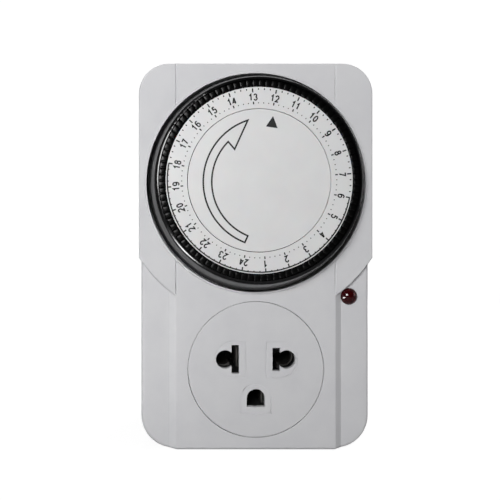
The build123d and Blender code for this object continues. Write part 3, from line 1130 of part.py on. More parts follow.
ear_rear = MOTOR_FRONT - MOTOR_WALL
ear_neck = MOTOR_EAR_REACH - MOTOR_RADIUS + MOTOR_WALL
with BuildPart() as motor_can:
    bars([motor_place], MOTOR_RADIUS, MOTOR_BACK, MOTOR_FRONT)
    for ear_place, angle in zip(motor_ears, MOTOR_EARS):
        with BuildSketch(at_depth(ear_rear)):
            with Locations(ear_place):
                Circle(MOTOR_EAR_RADIUS)
            neck_place = polar(motor_place, MOTOR_EAR_REACH - ear_neck / 2, angle)
            with Locations(Location((*neck_place, 0), (0, 0, angle))):
                Rectangle(ear_neck, 2 * MOTOR_EAR_RADIUS)
        extrude(amount=MOTOR_WALL)
    bars([motor_place], MOTOR_RADIUS - MOTOR_WALL, MOTOR_BACK + MOTOR_WALL, MOTOR_FRONT, Mode.SUBTRACT)
    bars([motor_place], ARBOR_RADIUS + RUNNING_FIT, MOTOR_BACK, MOTOR_FRONT, Mode.SUBTRACT)
    bars(motor_ears, screw_hole, ear_rear, MOTOR_FRONT, Mode.SUBTRACT)
finish(motor_can.part, "motor_can")

with BuildPart() as motor_screws:
    bars(motor_ears, SMALL_SCREW_RADIUS, ear_rear, REAR_PLATE_FRONT)
    bars(motor_ears, SMALL_HEAD_RADIUS, ear_rear - SMALL_HEAD_HEIGHT, ear_rear)
finish(motor_screws.part, "motor_screws")

bobbin_back = MOTOR_BACK + MOTOR_WALL + MOTOR_GAP
bobbin_front = MOTOR_FRONT - MOTOR_GAP
flange_outer = MOTOR_RADIUS - MOTOR_WALL - 2 * MOTOR_GAP
with BuildPart() as motor_bobbin:
    turned(
        [
            (COIL_INNER - BOBBIN_WALL, bobbin_back),
            (flange_outer, bobbin_back),
            (flange_outer, bobbin_back + BOBBIN_WALL),
            (COIL_INNER, bobbin_back + BOBBIN_WALL),
            (COIL_INNER, bobbin_front - BOBBIN_WALL),
            (flange_outer, bobbin_front - BOBBIN_WALL),
            (flange_outer, bobbin_front),
            (COIL_INNER - BOBBIN_WALL, bobbin_front),
        ],
        *motor_place,
    )
finish(motor_bobbin.part, "motor_bobbin")

with BuildPart() as motor_coil:
    coil_back = bobbin_back + BOBBIN_WALL + PIN_FIT
    coil_front = bobbin_front - BOBBIN_WALL - PIN_FIT
    bars([motor_place], COIL_OUTER, coil_back, coil_front)
    bars([motor_place], COIL_INNER + PIN_FIT, coil_back, coil_front, Mode.SUBTRACT)
finish(motor_coil.part, "motor_coil")

with BuildPart() as motor_rotor:
    magnet_back = (MOTOR_BACK + MOTOR_FRONT - ROTOR_LENGTH) / 2
    bars([motor_place], ROTOR_RADIUS, magnet_back, magnet_back + ROTOR_LENGTH)
    bars([motor_place], ARBOR_RADIUS, MOTOR_BACK + END_PLAY, hub_back)
    gear(pinion_outline, motor_place, hub_back, wheel_depths[0] + WHEEL_WIDTH + PINION_OVERRUN)
finish(motor_rotor.part, "motor_rotor")

# ---------------------------------------------------------------- timer contact
arm_back = LEVER_PIVOT_DEPTH - LEVER_THICKNESS / 2
arm_front = LEVER_PIVOT_DEPTH + LEVER_THICKNESS / 2
lever_low = nose_z - LEVER_WIDTH / 2
nose_low = nose_z - NOSE_RADIAL / 2
nose_neck = FOOT_BOTTOM_PRESSED - NOSE_NECK_BELOW
nose_top = TAPPET_BOTTOM - NOSE_REACH


def across(low):
    """Plane across the lever at a height: local x runs right and local y is minus the depth."""
    return Plane.XY.offset(low)


with BuildPart() as switch_lever:
    with BuildSketch(across(lever_low)):
        with Locations(((pivot_x - LEVER_TAIL + nose_x + NOSE_WIDTH / 2) / 2, -LEVER_PIVOT_DEPTH)):
            Rectangle(nose_x + NOSE_WIDTH / 2 - pivot_x + LEVER_TAIL, LEVER_THICKNESS)
        with Locations((pivot_x, -LEVER_PIVOT_DEPTH)):
            Circle(LEVER_TAIL)
    extrude(amount=LEVER_WIDTH)
    with BuildSketch(across(nose_low)):
        Polygon(
            (nose_x - NOSE_WIDTH / 2, -LEVER_PIVOT_DEPTH),
            (nose_x - NOSE_WIDTH / 2, -WELL_TOP + NOSE_SHOULDER),
            (nose_x - NOSE_NECK_WIDTH / 2, -nose_neck),
            (nose_x - NOSE_TIP_WIDTH / 2, -nose_top),
            (nose_x + NOSE_TIP_WIDTH / 2, -nose_top),
            (nose_x + NOSE_NECK_WIDTH / 2, -nose_neck),
            (nose_x + NOSE_WIDTH / 2, -WELL_TOP + NOSE_SHOULDER),
            (nose_x + NOSE_WIDTH / 2, -LEVER_PIVOT_DEPTH),
            align=None,
        )
    extrude(amount=NOSE_RADIAL)
    pivot_bore = (PIVOT_PIN_RADIUS + RUNNING_FIT, lever_low, lever_low + LEVER_WIDTH)
    upright_pins([(pivot_x, LEVER_PIVOT_DEPTH)], *pivot_bore, Mode.SUBTRACT)
finish(switch_lever.part, "switch_lever")

pin_low = nose_z - rib_inner - RIB_WALL
pin_high = nose_z + rib_inner + RIB_WALL
with BuildPart() as lever_pivot_pin:
    upright_pins([(pivot_x, LEVER_PIVOT_DEPTH)], PIVOT_PIN_RADIUS, pin_low, pin_high)
finish(lever_pivot_pin.part, "lever_pivot_pin")

switch_z = (nose_z - SWITCH_THICKNESS / 2, nose_z + SWITCH_THICKNESS / 2)
switch_back = SWITCH_TOP_DEPTH - SWITCH_HEIGHT
plunger_x = pivot_x + PLUNGER_OFFSET
plunger_span = (plunger_x - PLUNGER_WIDTH / 2, plunger_x + PLUNGER_WIDTH / 2)
plunger_z = (nose_z - PLUNGER_LENGTH / 2, nose_z + PLUNGER_LENGTH / 2)
pocket_back = SWITCH_TOP_DEPTH - PLUNGER_IN_BODY - PLUNGER_TRAVEL - POCKET_SPARE
with BuildPart() as snap_switch:
    block((switch_left, switch_right), switch_z, switch_back, SWITCH_TOP_DEPTH)
    fillet(snap_switch.edges().filter_by(Axis.Z), SWITCH_ROUND)
    pocket_x = widened(plunger_span, PLUNGER_FIT)
    block(pocket_x, widened(plunger_z, PLUNGER_FIT), pocket_back, SWITCH_TOP_DEPTH, Mode.SUBTRACT)
    upright_pins(switch_pins, PIVOT_PIN_RADIUS + PIN_FIT, *switch_z, Mode.SUBTRACT)
finish(snap_switch.part, "snap_switch")

with BuildPart() as switch_plunger:
    plunger_back = SWITCH_TOP_DEPTH - PLUNGER_IN_BODY
    block(plunger_span, plunger_z, plunger_back, arm_back - PLUNGER_GAP)
    plunger_tip = switch_plunger.faces().sort_by(Axis.Y)[0]
    fillet(plunger_tip.edges().filter_by(Axis.Z), PLUNGER_ROUND)
finish(switch_plunger.part, "switch_plunger")

with BuildPart() as switch_fixing_pins:
    upright_pins(switch_pins, PIVOT_PIN_RADIUS, pin_low, pin_high)
finish(switch_fixing_pins.part, "switch_fixing_pins")

terminal_places = [switch_left + TERMINAL_INSET, pivot_x + PLUNGER_OFFSET, switch_right - TERMINAL_INSET]
terminal_z = (nose_z - TERMINAL_WIDTH / 2, nose_z + TERMINAL_WIDTH / 2)
with BuildPart() as switch_terminals:
    for x in terminal_places:
        half = TERMINAL_THICKNESS / 2
        block((x - half, x + half), terminal_z, switch_back - TERMINAL_LENGTH, switch_back)
finish(switch_terminals.part, "switch_terminals")

# ---------------------------------------------------------------- manual override
wall_inside = INNER_HALF_WIDTH - SEAM_GAP
override_z = (OVERRIDE_Z - OVERRIDE_LENGTH / 2, OVERRIDE_Z + OVERRIDE_LENGTH / 2)
knob_low = OVERRIDE_Z - (KNOB_LENGTH + KNOB_TRAVEL) / 2
knob_z = (knob_low, knob_low + KNOB_LENGTH)
knob_depths = (OVERRIDE_DEPTH - KNOB_WIDTH / 2, OVERRIDE_DEPTH + KNOB_WIDTH / 2)
with BuildPart() as override_switch:
    override_depths = (OVERRIDE_DEPTH - OVERRIDE_HEIGHT / 2, OVERRIDE_DEPTH + OVERRIDE_HEIGHT / 2)
    block((wall_inside - OVERRIDE_THICKNESS, wall_inside), override_z, *override_depths)
    pocket_z = widened((knob_low, knob_low + KNOB_LENGTH + KNOB_TRAVEL), KNOB_CLEARANCE)
    pocket_depths = widened(knob_depths, KNOB_SIDE_GAP)
    pocket_x = (wall_inside - KNOB_IN_BODY - KNOB_SIDE_GAP, wall_inside)
    block(pocket_x, pocket_z, *pocket_depths, Mode.SUBTRACT)
finish(override_switch.part, "override_switch")

with BuildPart() as override_knob:
    block((wall_inside - KNOB_IN_BODY, LOWER_WIDTH / 2 - KNOB_SUNK), knob_z, *knob_depths)
    knob_top = override_knob.faces().sort_by(Axis.X)[-1]
    fillet(knob_top.edges(), KNOB_ROUND)
finish(override_knob.part, "override_knob")

# ---------------------------------------------------------------- indicator
lamp_place = (LAMP_X, LAMP_Z)
lens_bore = LENS_RADIUS - LENS_WALL
flange_back = PANEL_INSIDE - LENS_FLANGE - SEAM_GAP
lens_back = flange_back - LENS_SLEEVE
dome_radius = (LENS_RADIUS**2 + LENS_DOME**2) / (2 * LENS_DOME)
with BuildPart() as indicator_lens:
    with BuildSketch(section_at(*lamp_place)):
        with BuildLine():
            Polyline(
                (0, PANEL_DEPTH + LENS_DOME),
                (0, PANEL_DEPTH - LENS_WALL),
                (lens_bore, PANEL_DEPTH - LENS_WALL),
                (lens_bore, lens_back),
                (LENS_RADIUS, lens_back),
                (LENS_RADIUS, flange_back),
                (LENS_FLANGE_RADIUS, flange_back),
                (LENS_FLANGE_RADIUS, flange_back + LENS_FLANGE),
                (LENS_RADIUS, flange_back + LENS_FLANGE),
                (LENS_RADIUS, PANEL_DEPTH),
            )
            RadiusArc((LENS_RADIUS, PANEL_DEPTH), (0, PANEL_DEPTH + LENS_DOME), -dome_radius)
        make_face()
    revolve(axis=depth_axis(*lamp_place))
finish(indicator_lens.part, "indicator_lens")

lamp_radius = lens_bore - LAMP_GAP
lamp_front = PANEL_DEPTH - LENS_WALL - LAMP_GAP
lamp_back = lamp_front - LAMP_LENGTH
with BuildPart() as neon_lamp:
    bars([lamp_place], lamp_radius, lamp_back, lamp_front)
    fillet(neon_lamp.edges().filter_by(GeomType.CIRCLE), lamp_radius / 2)
    leads = [(LAMP_X - LEAD_SPREAD, LAMP_Z), (LAMP_X + LEAD_SPREAD, LAMP_Z)]
    bars(leads, LEAD_RADIUS, lamp_back - LEAD_LENGTH, lamp_back + lamp_radius)
finish(neon_lamp.part, "neon_lamp")

resistor_front = lamp_back - LEAD_LENGTH
with BuildPart() as lamp_resistor:
    bars([leads[1]], RESISTOR_RADIUS, resistor_front - RESISTOR_LENGTH, resistor_front)
    fillet(lamp_resistor.edges().filter_by(GeomType.CIRCLE), RESISTOR_RADIUS / 3)
finish(lamp_resistor.part, "lamp_resistor")

# ---------------------------------------------------------------- wiring
blade_foot_middle = LIVE_FOOT_DEPTH + BLADE_THICKNESS / 2
foot_edge = BLADE_WIDTH / 2
strap_middle = (STRAP_BACK + STRAP_FRONT) / 2
strap_edge = CHAMBER_HALF_HEIGHT + CHAMBER_WALL
terminal_bottom = terminal_z[0]
terminal_middle = switch_back - TERMINAL_LENGTH / 2


def strap_lead(x):
    """Last run of a wire, down to the upper edge of a contact strap."""
    return [(x, strap_edge + STRAP_LEAD, strap_middle), (x, strap_edge, strap_middle)]


with BuildPart() as live_feed_wire:
    feed_x = BLADE_X + FEED_SHIFT
    wire(
        [
            (feed_x, foot_edge, blade_foot_middle),
            (feed_x, foot_edge + STRAP_LEAD, blade_foot_middle),
            (terminal_places[2], terminal_bottom - STRAP_LEAD, terminal_middle),
            (terminal_places[2], terminal_bottom, terminal_middle),
        ],
        WIRE_RADIUS,
    )
finish(live_feed_wire.part, "live_feed_wire")

with BuildPart() as switched_live_wire:
    wire(
        [
            (terminal_places[0], terminal_bottom, terminal_middle),
            (terminal_places[0], terminal_bottom - STRAP_LEAD, terminal_middle),
            *strap_lead(ROUND_X),
        ],
        WIRE_RADIUS,
    )
finish(switched_live_wire.part, "switched_live_wire")

motor_edge = motor_place[1] - MOTOR_RADIUS
motor_lead_depth = (MOTOR_BACK + MOTOR_FRONT) / 2
with BuildPart() as motor_leads:
    neutral_x, live_x = motor_place[0] - MOTOR_LEAD_SPREAD, motor_place[0] + MOTOR_LEAD_SPREAD
    wire(
        [
            (neutral_x, motor_edge, motor_lead_depth),
            (neutral_x, motor_edge - STRAP_LEAD, motor_lead_depth),
            (-ROUND_X, strap_edge + 2 * STRAP_LEAD, switch_back - 1.5 * TERMINAL_LENGTH),
            *strap_lead(-ROUND_X),
        ],
        LEAD_WIRE_RADIUS,
    )
    motor_foot_x = foot_end - 2 * LEAD_WIRE_RADIUS
    wire(
        [
            (live_x, motor_edge, motor_lead_depth),
            (live_x, motor_edge - STRAP_LEAD, motor_lead_depth),
            (motor_foot_x, foot_edge + 1.5 * STRAP_LEAD, blade_foot_middle),
            (motor_foot_x, foot_edge, blade_foot_middle),
        ],
        LEAD_WIRE_RADIUS,
    )
finish(motor_leads.part, "motor_leads")

override_x = wall_inside - OVERRIDE_THICKNESS / 2
override_back = OVERRIDE_DEPTH - OVERRIDE_HEIGHT / 2
with BuildPart() as override_wires:
    override_low = OVERRIDE_Z - OVERRIDE_LENGTH / 4
    override_high = OVERRIDE_Z + OVERRIDE_LENGTH / 4
    wire(
        [
            (feed_x, -foot_edge, blade_foot_middle),
            (feed_x, -foot_edge - STRAP_LEAD, blade_foot_middle),
            (CHAMBER_OUTER_X + 2 * STRAP_LEAD, -foot_edge, blade_foot_middle),
            (override_x, override_low, override_back - STRAP_LEAD),
            (override_x, override_low, override_back),
        ],
        WIRE_RADIUS,
    )
    wire(
        [
            (override_x, override_high, override_back),
            (override_x, override_high, override_back - STRAP_LEAD),
            *strap_lead(CHAMBER_OUTER_X),
        ],
        WIRE_RADIUS,
    )
finish(override_wires.part, "override_wires")

with BuildPart() as lamp_wires:
    wire(
        [
            (*leads[0], resistor_front),
            (*leads[0], resistor_front - STRAP_LEAD),
            (LAMP_X / 2, strap_edge + STRAP_LEAD, resistor_front),
            (-LAMP_X / 3, strap_edge + STRAP_LEAD, resistor_front),
            *strap_lead(-CHAMBER_OUTER_X),
        ],
        LAMP_WIRE_RADIUS,
    )
    resistor_back = resistor_front - RESISTOR_LENGTH
    wire(
        [
            (*leads[1], resistor_back),
            (*leads[1], resistor_back - STRAP_LEAD),
            (LAMP_X * 2 / 3, LAMP_Z, resistor_back - STRAP_LEAD),
            *strap_lead((ROUND_X + CHAMBER_OUTER_X) / 2),
        ],
        LAMP_WIRE_RADIUS,
    )
finish(lamp_wires.part, "lamp_wires")
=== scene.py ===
"""Looks of a plug-in 24 hour timer switch with a universal outlet.

Lengths are written in millimetres and scaled to metres where they enter Blender.  A depth is the distance
from the wall face towards the front, so a point at depth d has y = -d.  +X is to the right seen from the
front and +Z is up.  The CAD nodes carry most shapes; the pieces made here are the tappets' finished heads,
the motor's winding and everything that is printed on the dial.
"""

import logging
import math
from dataclasses import dataclass, field
from enum import Enum

import bpy
import numpy as np
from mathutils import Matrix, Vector


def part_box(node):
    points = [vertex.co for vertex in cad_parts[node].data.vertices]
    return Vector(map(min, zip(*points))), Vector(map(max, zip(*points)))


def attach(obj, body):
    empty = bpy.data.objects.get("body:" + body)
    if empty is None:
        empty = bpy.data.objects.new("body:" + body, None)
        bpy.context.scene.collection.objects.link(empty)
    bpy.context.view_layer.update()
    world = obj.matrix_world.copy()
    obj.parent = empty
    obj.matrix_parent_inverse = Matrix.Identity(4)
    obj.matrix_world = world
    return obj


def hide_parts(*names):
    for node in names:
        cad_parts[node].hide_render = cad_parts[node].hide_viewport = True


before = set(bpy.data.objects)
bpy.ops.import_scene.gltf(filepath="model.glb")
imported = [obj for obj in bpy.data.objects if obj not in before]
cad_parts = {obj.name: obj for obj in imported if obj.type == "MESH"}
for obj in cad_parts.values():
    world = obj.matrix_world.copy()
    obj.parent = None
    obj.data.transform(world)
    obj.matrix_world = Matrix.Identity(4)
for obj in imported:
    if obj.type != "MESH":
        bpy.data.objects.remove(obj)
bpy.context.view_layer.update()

MM = 0.001
DIAL_CENTRE = np.array([0.0, 54.7])  # x and z
CASE_FRONT = 40.0
FACE_DEPTH = 45.9  # the number ring's and the disc's faces
INK_DEPTH = FACE_DEPTH + 0.02
SEAM_DEPTH = 14.0  # where the two halves of the case meet
HOURS = 24
HOUR_ANGLE = 360 / HOURS
QUARTER_ANGLE = HOUR_ANGLE / 4
MIDNIGHT = -100.8  # the 24 o'clock line, degrees from +X
TAPPETS = 4 * HOURS
GROUPS = 12
GROUP_SIZE = TAPPETS // GROUPS
GROUP_HOURS = HOURS // GROUPS
Array = np.ndarray
Pair = tuple[float, float]
Triple = tuple[float, float, float]
Socket = bpy.types.NodeSocket
Inputs = dict[str | int, object]
Thing = bpy.types.Object
ENDS = ("From Min", "From Max", "To Min", "To Max")  # inputs of a MapRange node
log = logging.getLogger("timer_switch")


class Body(Enum):
    """Bodies of the timer that new pieces ride on."""

    CASE = "case"
    DIAL = "dial"


class Slot(Enum):
    """Finishes of the CAD record that new pieces take after."""

    TAPPET = "tappet_plastic"
    DIAL_FACE = "white_plastic"
    WINDING = "copper_winding"


# ---- node helpers
def linear(colour: str) -> tuple[float, float, float, float]:
    """Turn an sRGB hex colour into linear red, green, blue and alpha.

    Args:
        colour: six hex digits after a hash.

    Returns:
        Linear colour with alpha 1.
    """
    parts = np.array([int(colour[i : i + 2], 16) / 255 for i in (1, 3, 5)])
    straight = np.where(parts <= 0.04045, parts / 12.92, ((parts + 0.055) / 1.055) ** 2.4)
    return (*straight.tolist(), 1.0)


@dataclass(frozen=True)
class Nodes:
    """A node tree in the making.

    Attributes:
        tree: the tree.
    """

    tree: bpy.types.NodeTree

    def feed(self, node: bpy.types.Node, inputs: Inputs) -> None:
        """Give a node's inputs their values and links.

        Args:
            node: the node.
            inputs: for each input socket, by name or number, a value or the output socket to link.
        """
        for key, value in inputs.items():
            if isinstance(value, Socket):
                self.tree.links.new(value, node.inputs[key])
            else:
                node.inputs[key].default_value = value

    def add(
        self, kind: str, inputs: Inputs | None = None, **settings: object
    ) -> bpy.types.bpy_prop_collection:
        """Add one node with its settings, values and links.

        Args:
            kind: Blender's name of the node type, less the ShaderNode before it.
            inputs: values and links, as for feed.
            settings: properties of the node.

        Returns:
            The new node's outputs.
        """
        made = self.tree.nodes.new(f"ShaderNode{kind}")
        for name, value in settings.items():
            setattr(made, name, value)
        self.feed(made, inputs or {})
        return made.outputs


# ---- mesh helpers
def mesh_object(
    name: str, points: Array, face_sets: list[Array], smooth_below: float = 0, turn_out: bool = True
) -> Thing:
    """Put points and faces into a new object at the origin.

    A mesh whose signed volume, the sum of the box products of its triangles, is negative is turned the right
    way out.  Edges sharper than an angle stay sharp.

    Args:
        name: name of the object.
        points: array of shape (points, 3), millimetres.
        face_sets: arrays of shape (faces, corners) of point numbers.
        smooth_below: angle in degrees below which an edge is shaded smooth; nought for flat faces.
        turn_out: turn a mesh that faces inwards; an open sheet round the object keeps its side.

    Returns:
        The object, linked to the scene.
    """
    volume = 0.0
    for faces in face_sets:
        for corner in range(1, faces.shape[1] - 1):
            triple = points[faces[:, [0, corner, corner + 1]]]
            volume += np.einsum("ij,ij->", triple[:, 0], np.cross(triple[:, 1], triple[:, 2]))
    if turn_out and volume < -1e-9:
        face_sets = [faces[:, ::-1] for faces in face_sets]
    mesh = bpy.data.meshes.new(name)
    mesh.from_pydata((points * MM).tolist(), [], [face for faces in face_sets for face in faces.tolist()])
    mesh.polygons.foreach_set("use_smooth", np.full(len(mesh.polygons), smooth_below > 0))
    mesh.update()
    if smooth_below > 0:
        mesh.set_sharp_from_angle(angle=math.radians(smooth_below))
    made = bpy.data.objects.new(name, mesh)
    bpy.context.scene.collection.objects.link(made)
    return made


def grid_faces(rows: int, columns: int, wrap_columns: bool = False, wrap_rows: bool = False) -> Array:
    """Four-cornered faces of a grid whose points are numbered row by row.

    Each face joins point (r, c) with its neighbours (r, c+1), (r+1, c+1) and (r+1, c), counted round again
    where the grid closes.

    Args:
        rows: rows of points.
        columns: points in a row.
        wrap_columns: the last column joins the first.
        wrap_rows: the last row joins the first.

    Returns:
        Array of shape (faces, 4).
    """
    row, column = np.indices((rows - (not wrap_rows), columns - (not wrap_columns)))
    beside = (column + 1) % columns
    here, below = row * columns, (row + 1) % rows * columns
    return np.stack([here + column, here + beside, below + beside, below + column], axis=-1).reshape(-1, 4)


def turned(name: str, profile: Array, centre: Pair, steps: int) -> Thing:
    """Turn a closed profile about a line along the depth.

    A profile point (r, d) at angle a lies at x = cx + r cos a, y = -d, z = cz + r sin a.

    Args:
        name: name of the object.
        profile: array of shape (points, 2) of radius and depth.
        centre: x and z of the line.
        steps: number of angles.

    Returns:
        The object.
    """
    angle = np.linspace(0, 2 * np.pi, steps, endpoint=False)[:, None]
    radius, depth = profile[:, 0], np.broadcast_to(profile[:, 1], (steps, len(profile)))
    x = centre[0] + radius * np.cos(angle)
    z = centre[1] + radius * np.sin(angle)
    points = np.stack([x, -depth, z], axis=-1).reshape(-1, 3)
    return mesh_object(name, points, [grid_faces(steps, len(profile), True, True)], smooth_below=40)


def inked(flat: Array) -> Array:
    """Lay points, whose last axis is x and z, where the ink is, as an array of shape (points, 3)."""
    x, z = flat.reshape(-1, 2).T
    return np.stack([x, np.full(len(x), -INK_DEPTH), z], axis=-1)


def heading(angle: Array | float) -> Array:
    """Unit vectors (cos a, sin a) at angles in degrees."""
    return np.stack([np.cos(np.radians(angle)), np.sin(np.radians(angle))], axis=-1)


# ---- finishes
@dataclass(frozen=True)
class Surface(Nodes):
    """A material in the making.

    Attributes:
        shader: its main shader.
        place: object coordinates, metres.
    """

    shader: bpy.types.Node
    place: Socket

    def assign(self, **inputs: object) -> None:
        """Give the shader's inputs, named with _ for each space, their values and links."""
        self.feed(self.shader, {name.replace("_", " "): value for name, value in inputs.items()})


@dataclass(frozen=True)
class Finish:
    """A surface as it was made.  Subclasses add the nodes that show how.

    Attributes:
        name: the real material and how its surface was made.
        colour: sRGB hex colour.
        roughness: mean roughness of the shader.
    """

    name: str
    colour: str
    roughness: float

    def material(self) -> bpy.types.Material:
        """Make the material once and hand it out again after that.

        Returns:
            The material.
        """
        known = bpy.data.materials.get(self.name)
        if known:
            return known
        made = bpy.data.materials.new(self.name)
        made.use_nodes = True
        tree = made.node_tree
        surface = Surface(tree, tree.nodes["Principled BSDF"], Nodes(tree).add("TexCoord")["Object"])
        surface.assign(Base_Color=linear(self.colour), Roughness=self.roughness)
        self.work(surface)
        made.diffuse_color = linear(self.colour)
        return made

    def work(self, surface: Surface) -> None:
        """Add the nodes of this finish.

        Args:
            surface: the material in the making.
        """
        raise NotImplementedError


@dataclass(frozen=True)
class MouldedPlastic(Finish):
    """Injection moulded plastic: an even colour that wanders a little, over the mould's own fine texture.

    Attributes:
        grain: width of the mould texture's grains, mm.
        relief: height of the grains, mm.
        patch: width of the slow changes in gloss, mm.
        gloss_change: how far the roughness wanders.
        shade: sRGB hex colour of the slightly darker patches.
        seam: the case's joint line shows as a dark hairline.
        scatter: share of light that passes under the surface.
        scatter_depth: how far it passes, mm.
        dark_below: painted shade darkens the holes' walls behind this depth, mm; nought for no holes.
        sheen: share of the usual mirror reflection that a dusty surface keeps, half being all of it.
    """

    grain: float = 0.4
    relief: float = 0.003
    patch: float = 9.0
    gloss_change: float = 0.06
    shade: str = "#000000"
    seam: bool = False
    scatter: float = 0.0
    scatter_depth: float = 0.6
    dark_below: float = 0.0
    sheen: float = 0.5

    def work(self, surface: Surface) -> None:
        """Slow patches drive colour and gloss, fine grains drive the bump.

        Args:
            surface: the material in the making.
        """
        slow = surface.add(
            "TexNoise", {"Vector": surface.place, "Scale": 1 / (self.patch * MM), "Detail": 3.0}
        )[0]
        fine = surface.add(
            "TexNoise", {"Vector": surface.place, "Scale": 1 / (self.grain * MM), "Detail": 1.5}
        )[0]
        share = surface.add("MapRange", {"Value": slow, "From Min": 0.35, "From Max": 0.75})[0]
        colour = surface.add(
            "Mix", {0: share, 6: linear(self.colour), 7: linear(self.shade)}, data_type="RGBA"
        )[2]
        if self.seam:
            colour = self.joint_line(surface, colour)
        # painted shade: the holes' walls turn near black behind a depth
        if self.dark_below:
            colour = self.dark_depths(surface, colour)
        span = (0.3, 0.7, self.roughness - self.gloss_change, self.roughness + self.gloss_change)
        gloss = surface.add("MapRange", {"Value": slow, **dict(zip(ENDS, span))})[0]
        bump = surface.add("Bump", {"Height": fine, "Distance": self.relief * MM, "Strength": 1.0})[0]
        surface.assign(Base_Color=colour, Roughness=gloss, Normal=bump)
        surface.assign(IOR=1.53, Specular_IOR_Level=self.sheen)
        if self.scatter:
            surface.assign(Subsurface_Weight=self.scatter, Subsurface_Scale=self.scatter_depth * MM)

    def dark_depths(self, surface: Surface, colour: Socket) -> Socket:
        """Paint shade on the walls far in the holes: they are darkened to near black behind a depth.

        Args:
            surface: the material in the making.
            colour: colour of the plastic.

        Returns:
            The colour with it.
        """
        depth = surface.add("SeparateXYZ", {"Vector": surface.place})["Y"]
        start, fade = -self.dark_below * MM, 0.9 * MM
        span = (start - fade, start, 0.0, 0.98)
        hole_shade = surface.add("MapRange", {"Value": depth, **dict(zip(ENDS, span))})[0]
        # near black painted shade, mixed into the plastic behind the depth
        return surface.add("Mix", {0: hole_shade, 6: colour, 7: linear("#0B0B0C")}, data_type="RGBA")[2]

    def joint_line(self, surface: Surface, colour: Socket) -> Socket:
        """Darken a hairline where the two halves of the case meet: shadow and dust in the joint.

        Args:
            surface: the material in the making.
            colour: colour of the plastic.

        Returns:
            The colour with it.
        """
        depth = surface.add("SeparateXYZ", {"Vector": surface.place})["Y"]
        offset = surface.add("Math", {0: depth, 1: SEAM_DEPTH * MM}, operation="ADD")[0]
        away = surface.add("Math", {0: offset}, operation="ABSOLUTE")[0]
        span = (0.08 * MM, 0.2 * MM, 0.7, 0.0)
        dark = surface.add("MapRange", {"Value": away, **dict(zip(ENDS, span))})[0]
        return surface.add("Mix", {0: dark, 6: colour, 7: linear("#4A4A4B")}, data_type="RGBA")[2]


@dataclass(frozen=True)
class GlossPlastic(Finish):
    """Plastic from a polished mould, with the faint hairlines that fingers and dust leave.

    Attributes:
        hairline: distance between the hairlines, mm.
        relief: depth of the hairlines, mm.
        dust: sRGB hex colour where dust lies in them.
        patch: width of the handled patches, mm.
    """

    hairline: float = 0.7
    relief: float = 0.0012
    dust: str = "#0C0C0D"
    patch: float = 6.0

    def work(self, surface: Surface) -> None:
        """Stretched noise draws hairlines, and slow noise dulls handled patches.

        Args:
            surface: the material in the making.
        """
        inputs = {"Vector": surface.place, "Rotation": (0.0, 0.7, 0.0), "Scale": (1.0, 1.0, 0.06)}
        along = surface.add("Mapping", inputs)[0]
        lines = surface.add(
            "TexNoise", {"Vector": along, "Scale": 1 / (self.hairline * MM), "Detail": 4.0}
        )[0]
        slow = surface.add(
            "TexNoise", {"Vector": surface.place, "Scale": 1 / (self.patch * MM), "Detail": 2.0}
        )[0]
        span = (0.3, 0.7, self.roughness * 0.75, self.roughness * 1.35)
        gloss = surface.add("MapRange", {"Value": slow, **dict(zip(ENDS, span))})[0]
        dusty = surface.add(
            "Mix", {0: lines, 6: linear(self.colour), 7: linear(self.dust)}, data_type="RGBA"
        )[2]
        bump = surface.add("Bump", {"Height": lines, "Distance": self.relief * MM, "Strength": 1.0})[0]
        surface.assign(Base_Color=dusty, Roughness=gloss, Normal=bump)


@dataclass(frozen=True)
class WorkedMetal(Finish):
    """Metal with the lines of its last working: rolled, drawn, ground or plated over such lines.

    Attributes:
        tint: sRGB hex colour that tarnish or passivation gives in patches.
        line: distance between the working lines, mm.
        stretch: how the lines run: a small number along an axis draws them out along it.
        relief: depth of the lines, mm.
        patch: width of the tinted patches, mm.
    """

    tint: str = "#808080"
    line: float = 0.25
    stretch: Triple = (1.0, 0.05, 1.0)
    relief: float = 0.0015
    patch: float = 4.0

    def work(self, surface: Surface) -> None:
        """Drawn-out noise gives lines in gloss and relief; slow noise gives the tint.

        Args:
            surface: the material in the making.
        """
        along = surface.add("Mapping", {"Vector": surface.place, "Scale": self.stretch})[0]
        lines = surface.add("TexNoise", {"Vector": along, "Scale": 1 / (self.line * MM), "Detail": 3.0})[0]
        slow = surface.add(
            "TexNoise", {"Vector": surface.place, "Scale": 1 / (self.patch * MM), "Detail": 3.0}
        )[0]
        share = surface.add("MapRange", {"Value": slow, "From Min": 0.4, "From Max": 0.75})[0]
        tinted = surface.add(
            "Mix", {0: share, 6: linear(self.colour), 7: linear(self.tint)}, data_type="RGBA"
        )[2]
        span = {"To Min": self.roughness * 0.7, "To Max": self.roughness * 1.4}
        gloss = surface.add("MapRange", {"Value": lines, **span})[0]
        bump = surface.add("Bump", {"Height": lines, "Distance": self.relief * MM, "Strength": 1.0})[0]
        surface.assign(Base_Color=tinted, Roughness=gloss, Normal=bump, Metallic=1.0)


@dataclass(frozen=True)
class ClearMoulding(Finish):
    """Clear plastic or glass, with the slight flow streaks of its making.

    Attributes:
        ior: index of refraction.
        clearness: share of light that passes.
        streak: width of the flow streaks, mm.
        relief: depth of the streaks, mm.
    """

    ior: float = 1.5
    clearness: float = 0.9
    streak: float = 1.5
    relief: float = 0.01

    def work(self, surface: Surface) -> None:
        """Streaks bend the light a little and dull the gloss in places.

        Args:
            surface: the material in the making.
        """
        inputs = {"Vector": surface.place, "Scale": 1 / (self.streak * MM), "Detail": 2.0}
        streaks = surface.add("TexNoise", inputs)[0]
        span = {"To Min": self.roughness * 0.5, "To Max": self.roughness * 1.5}
        gloss = surface.add("MapRange", {"Value": streaks, **span})[0]
        bump = surface.add("Bump", {"Height": streaks, "Distance": self.relief * MM, "Strength": 1.0})[0]
        surface.assign(Roughness=gloss, Normal=bump, IOR=self.ior, Transmission_Weight=self.clearness)


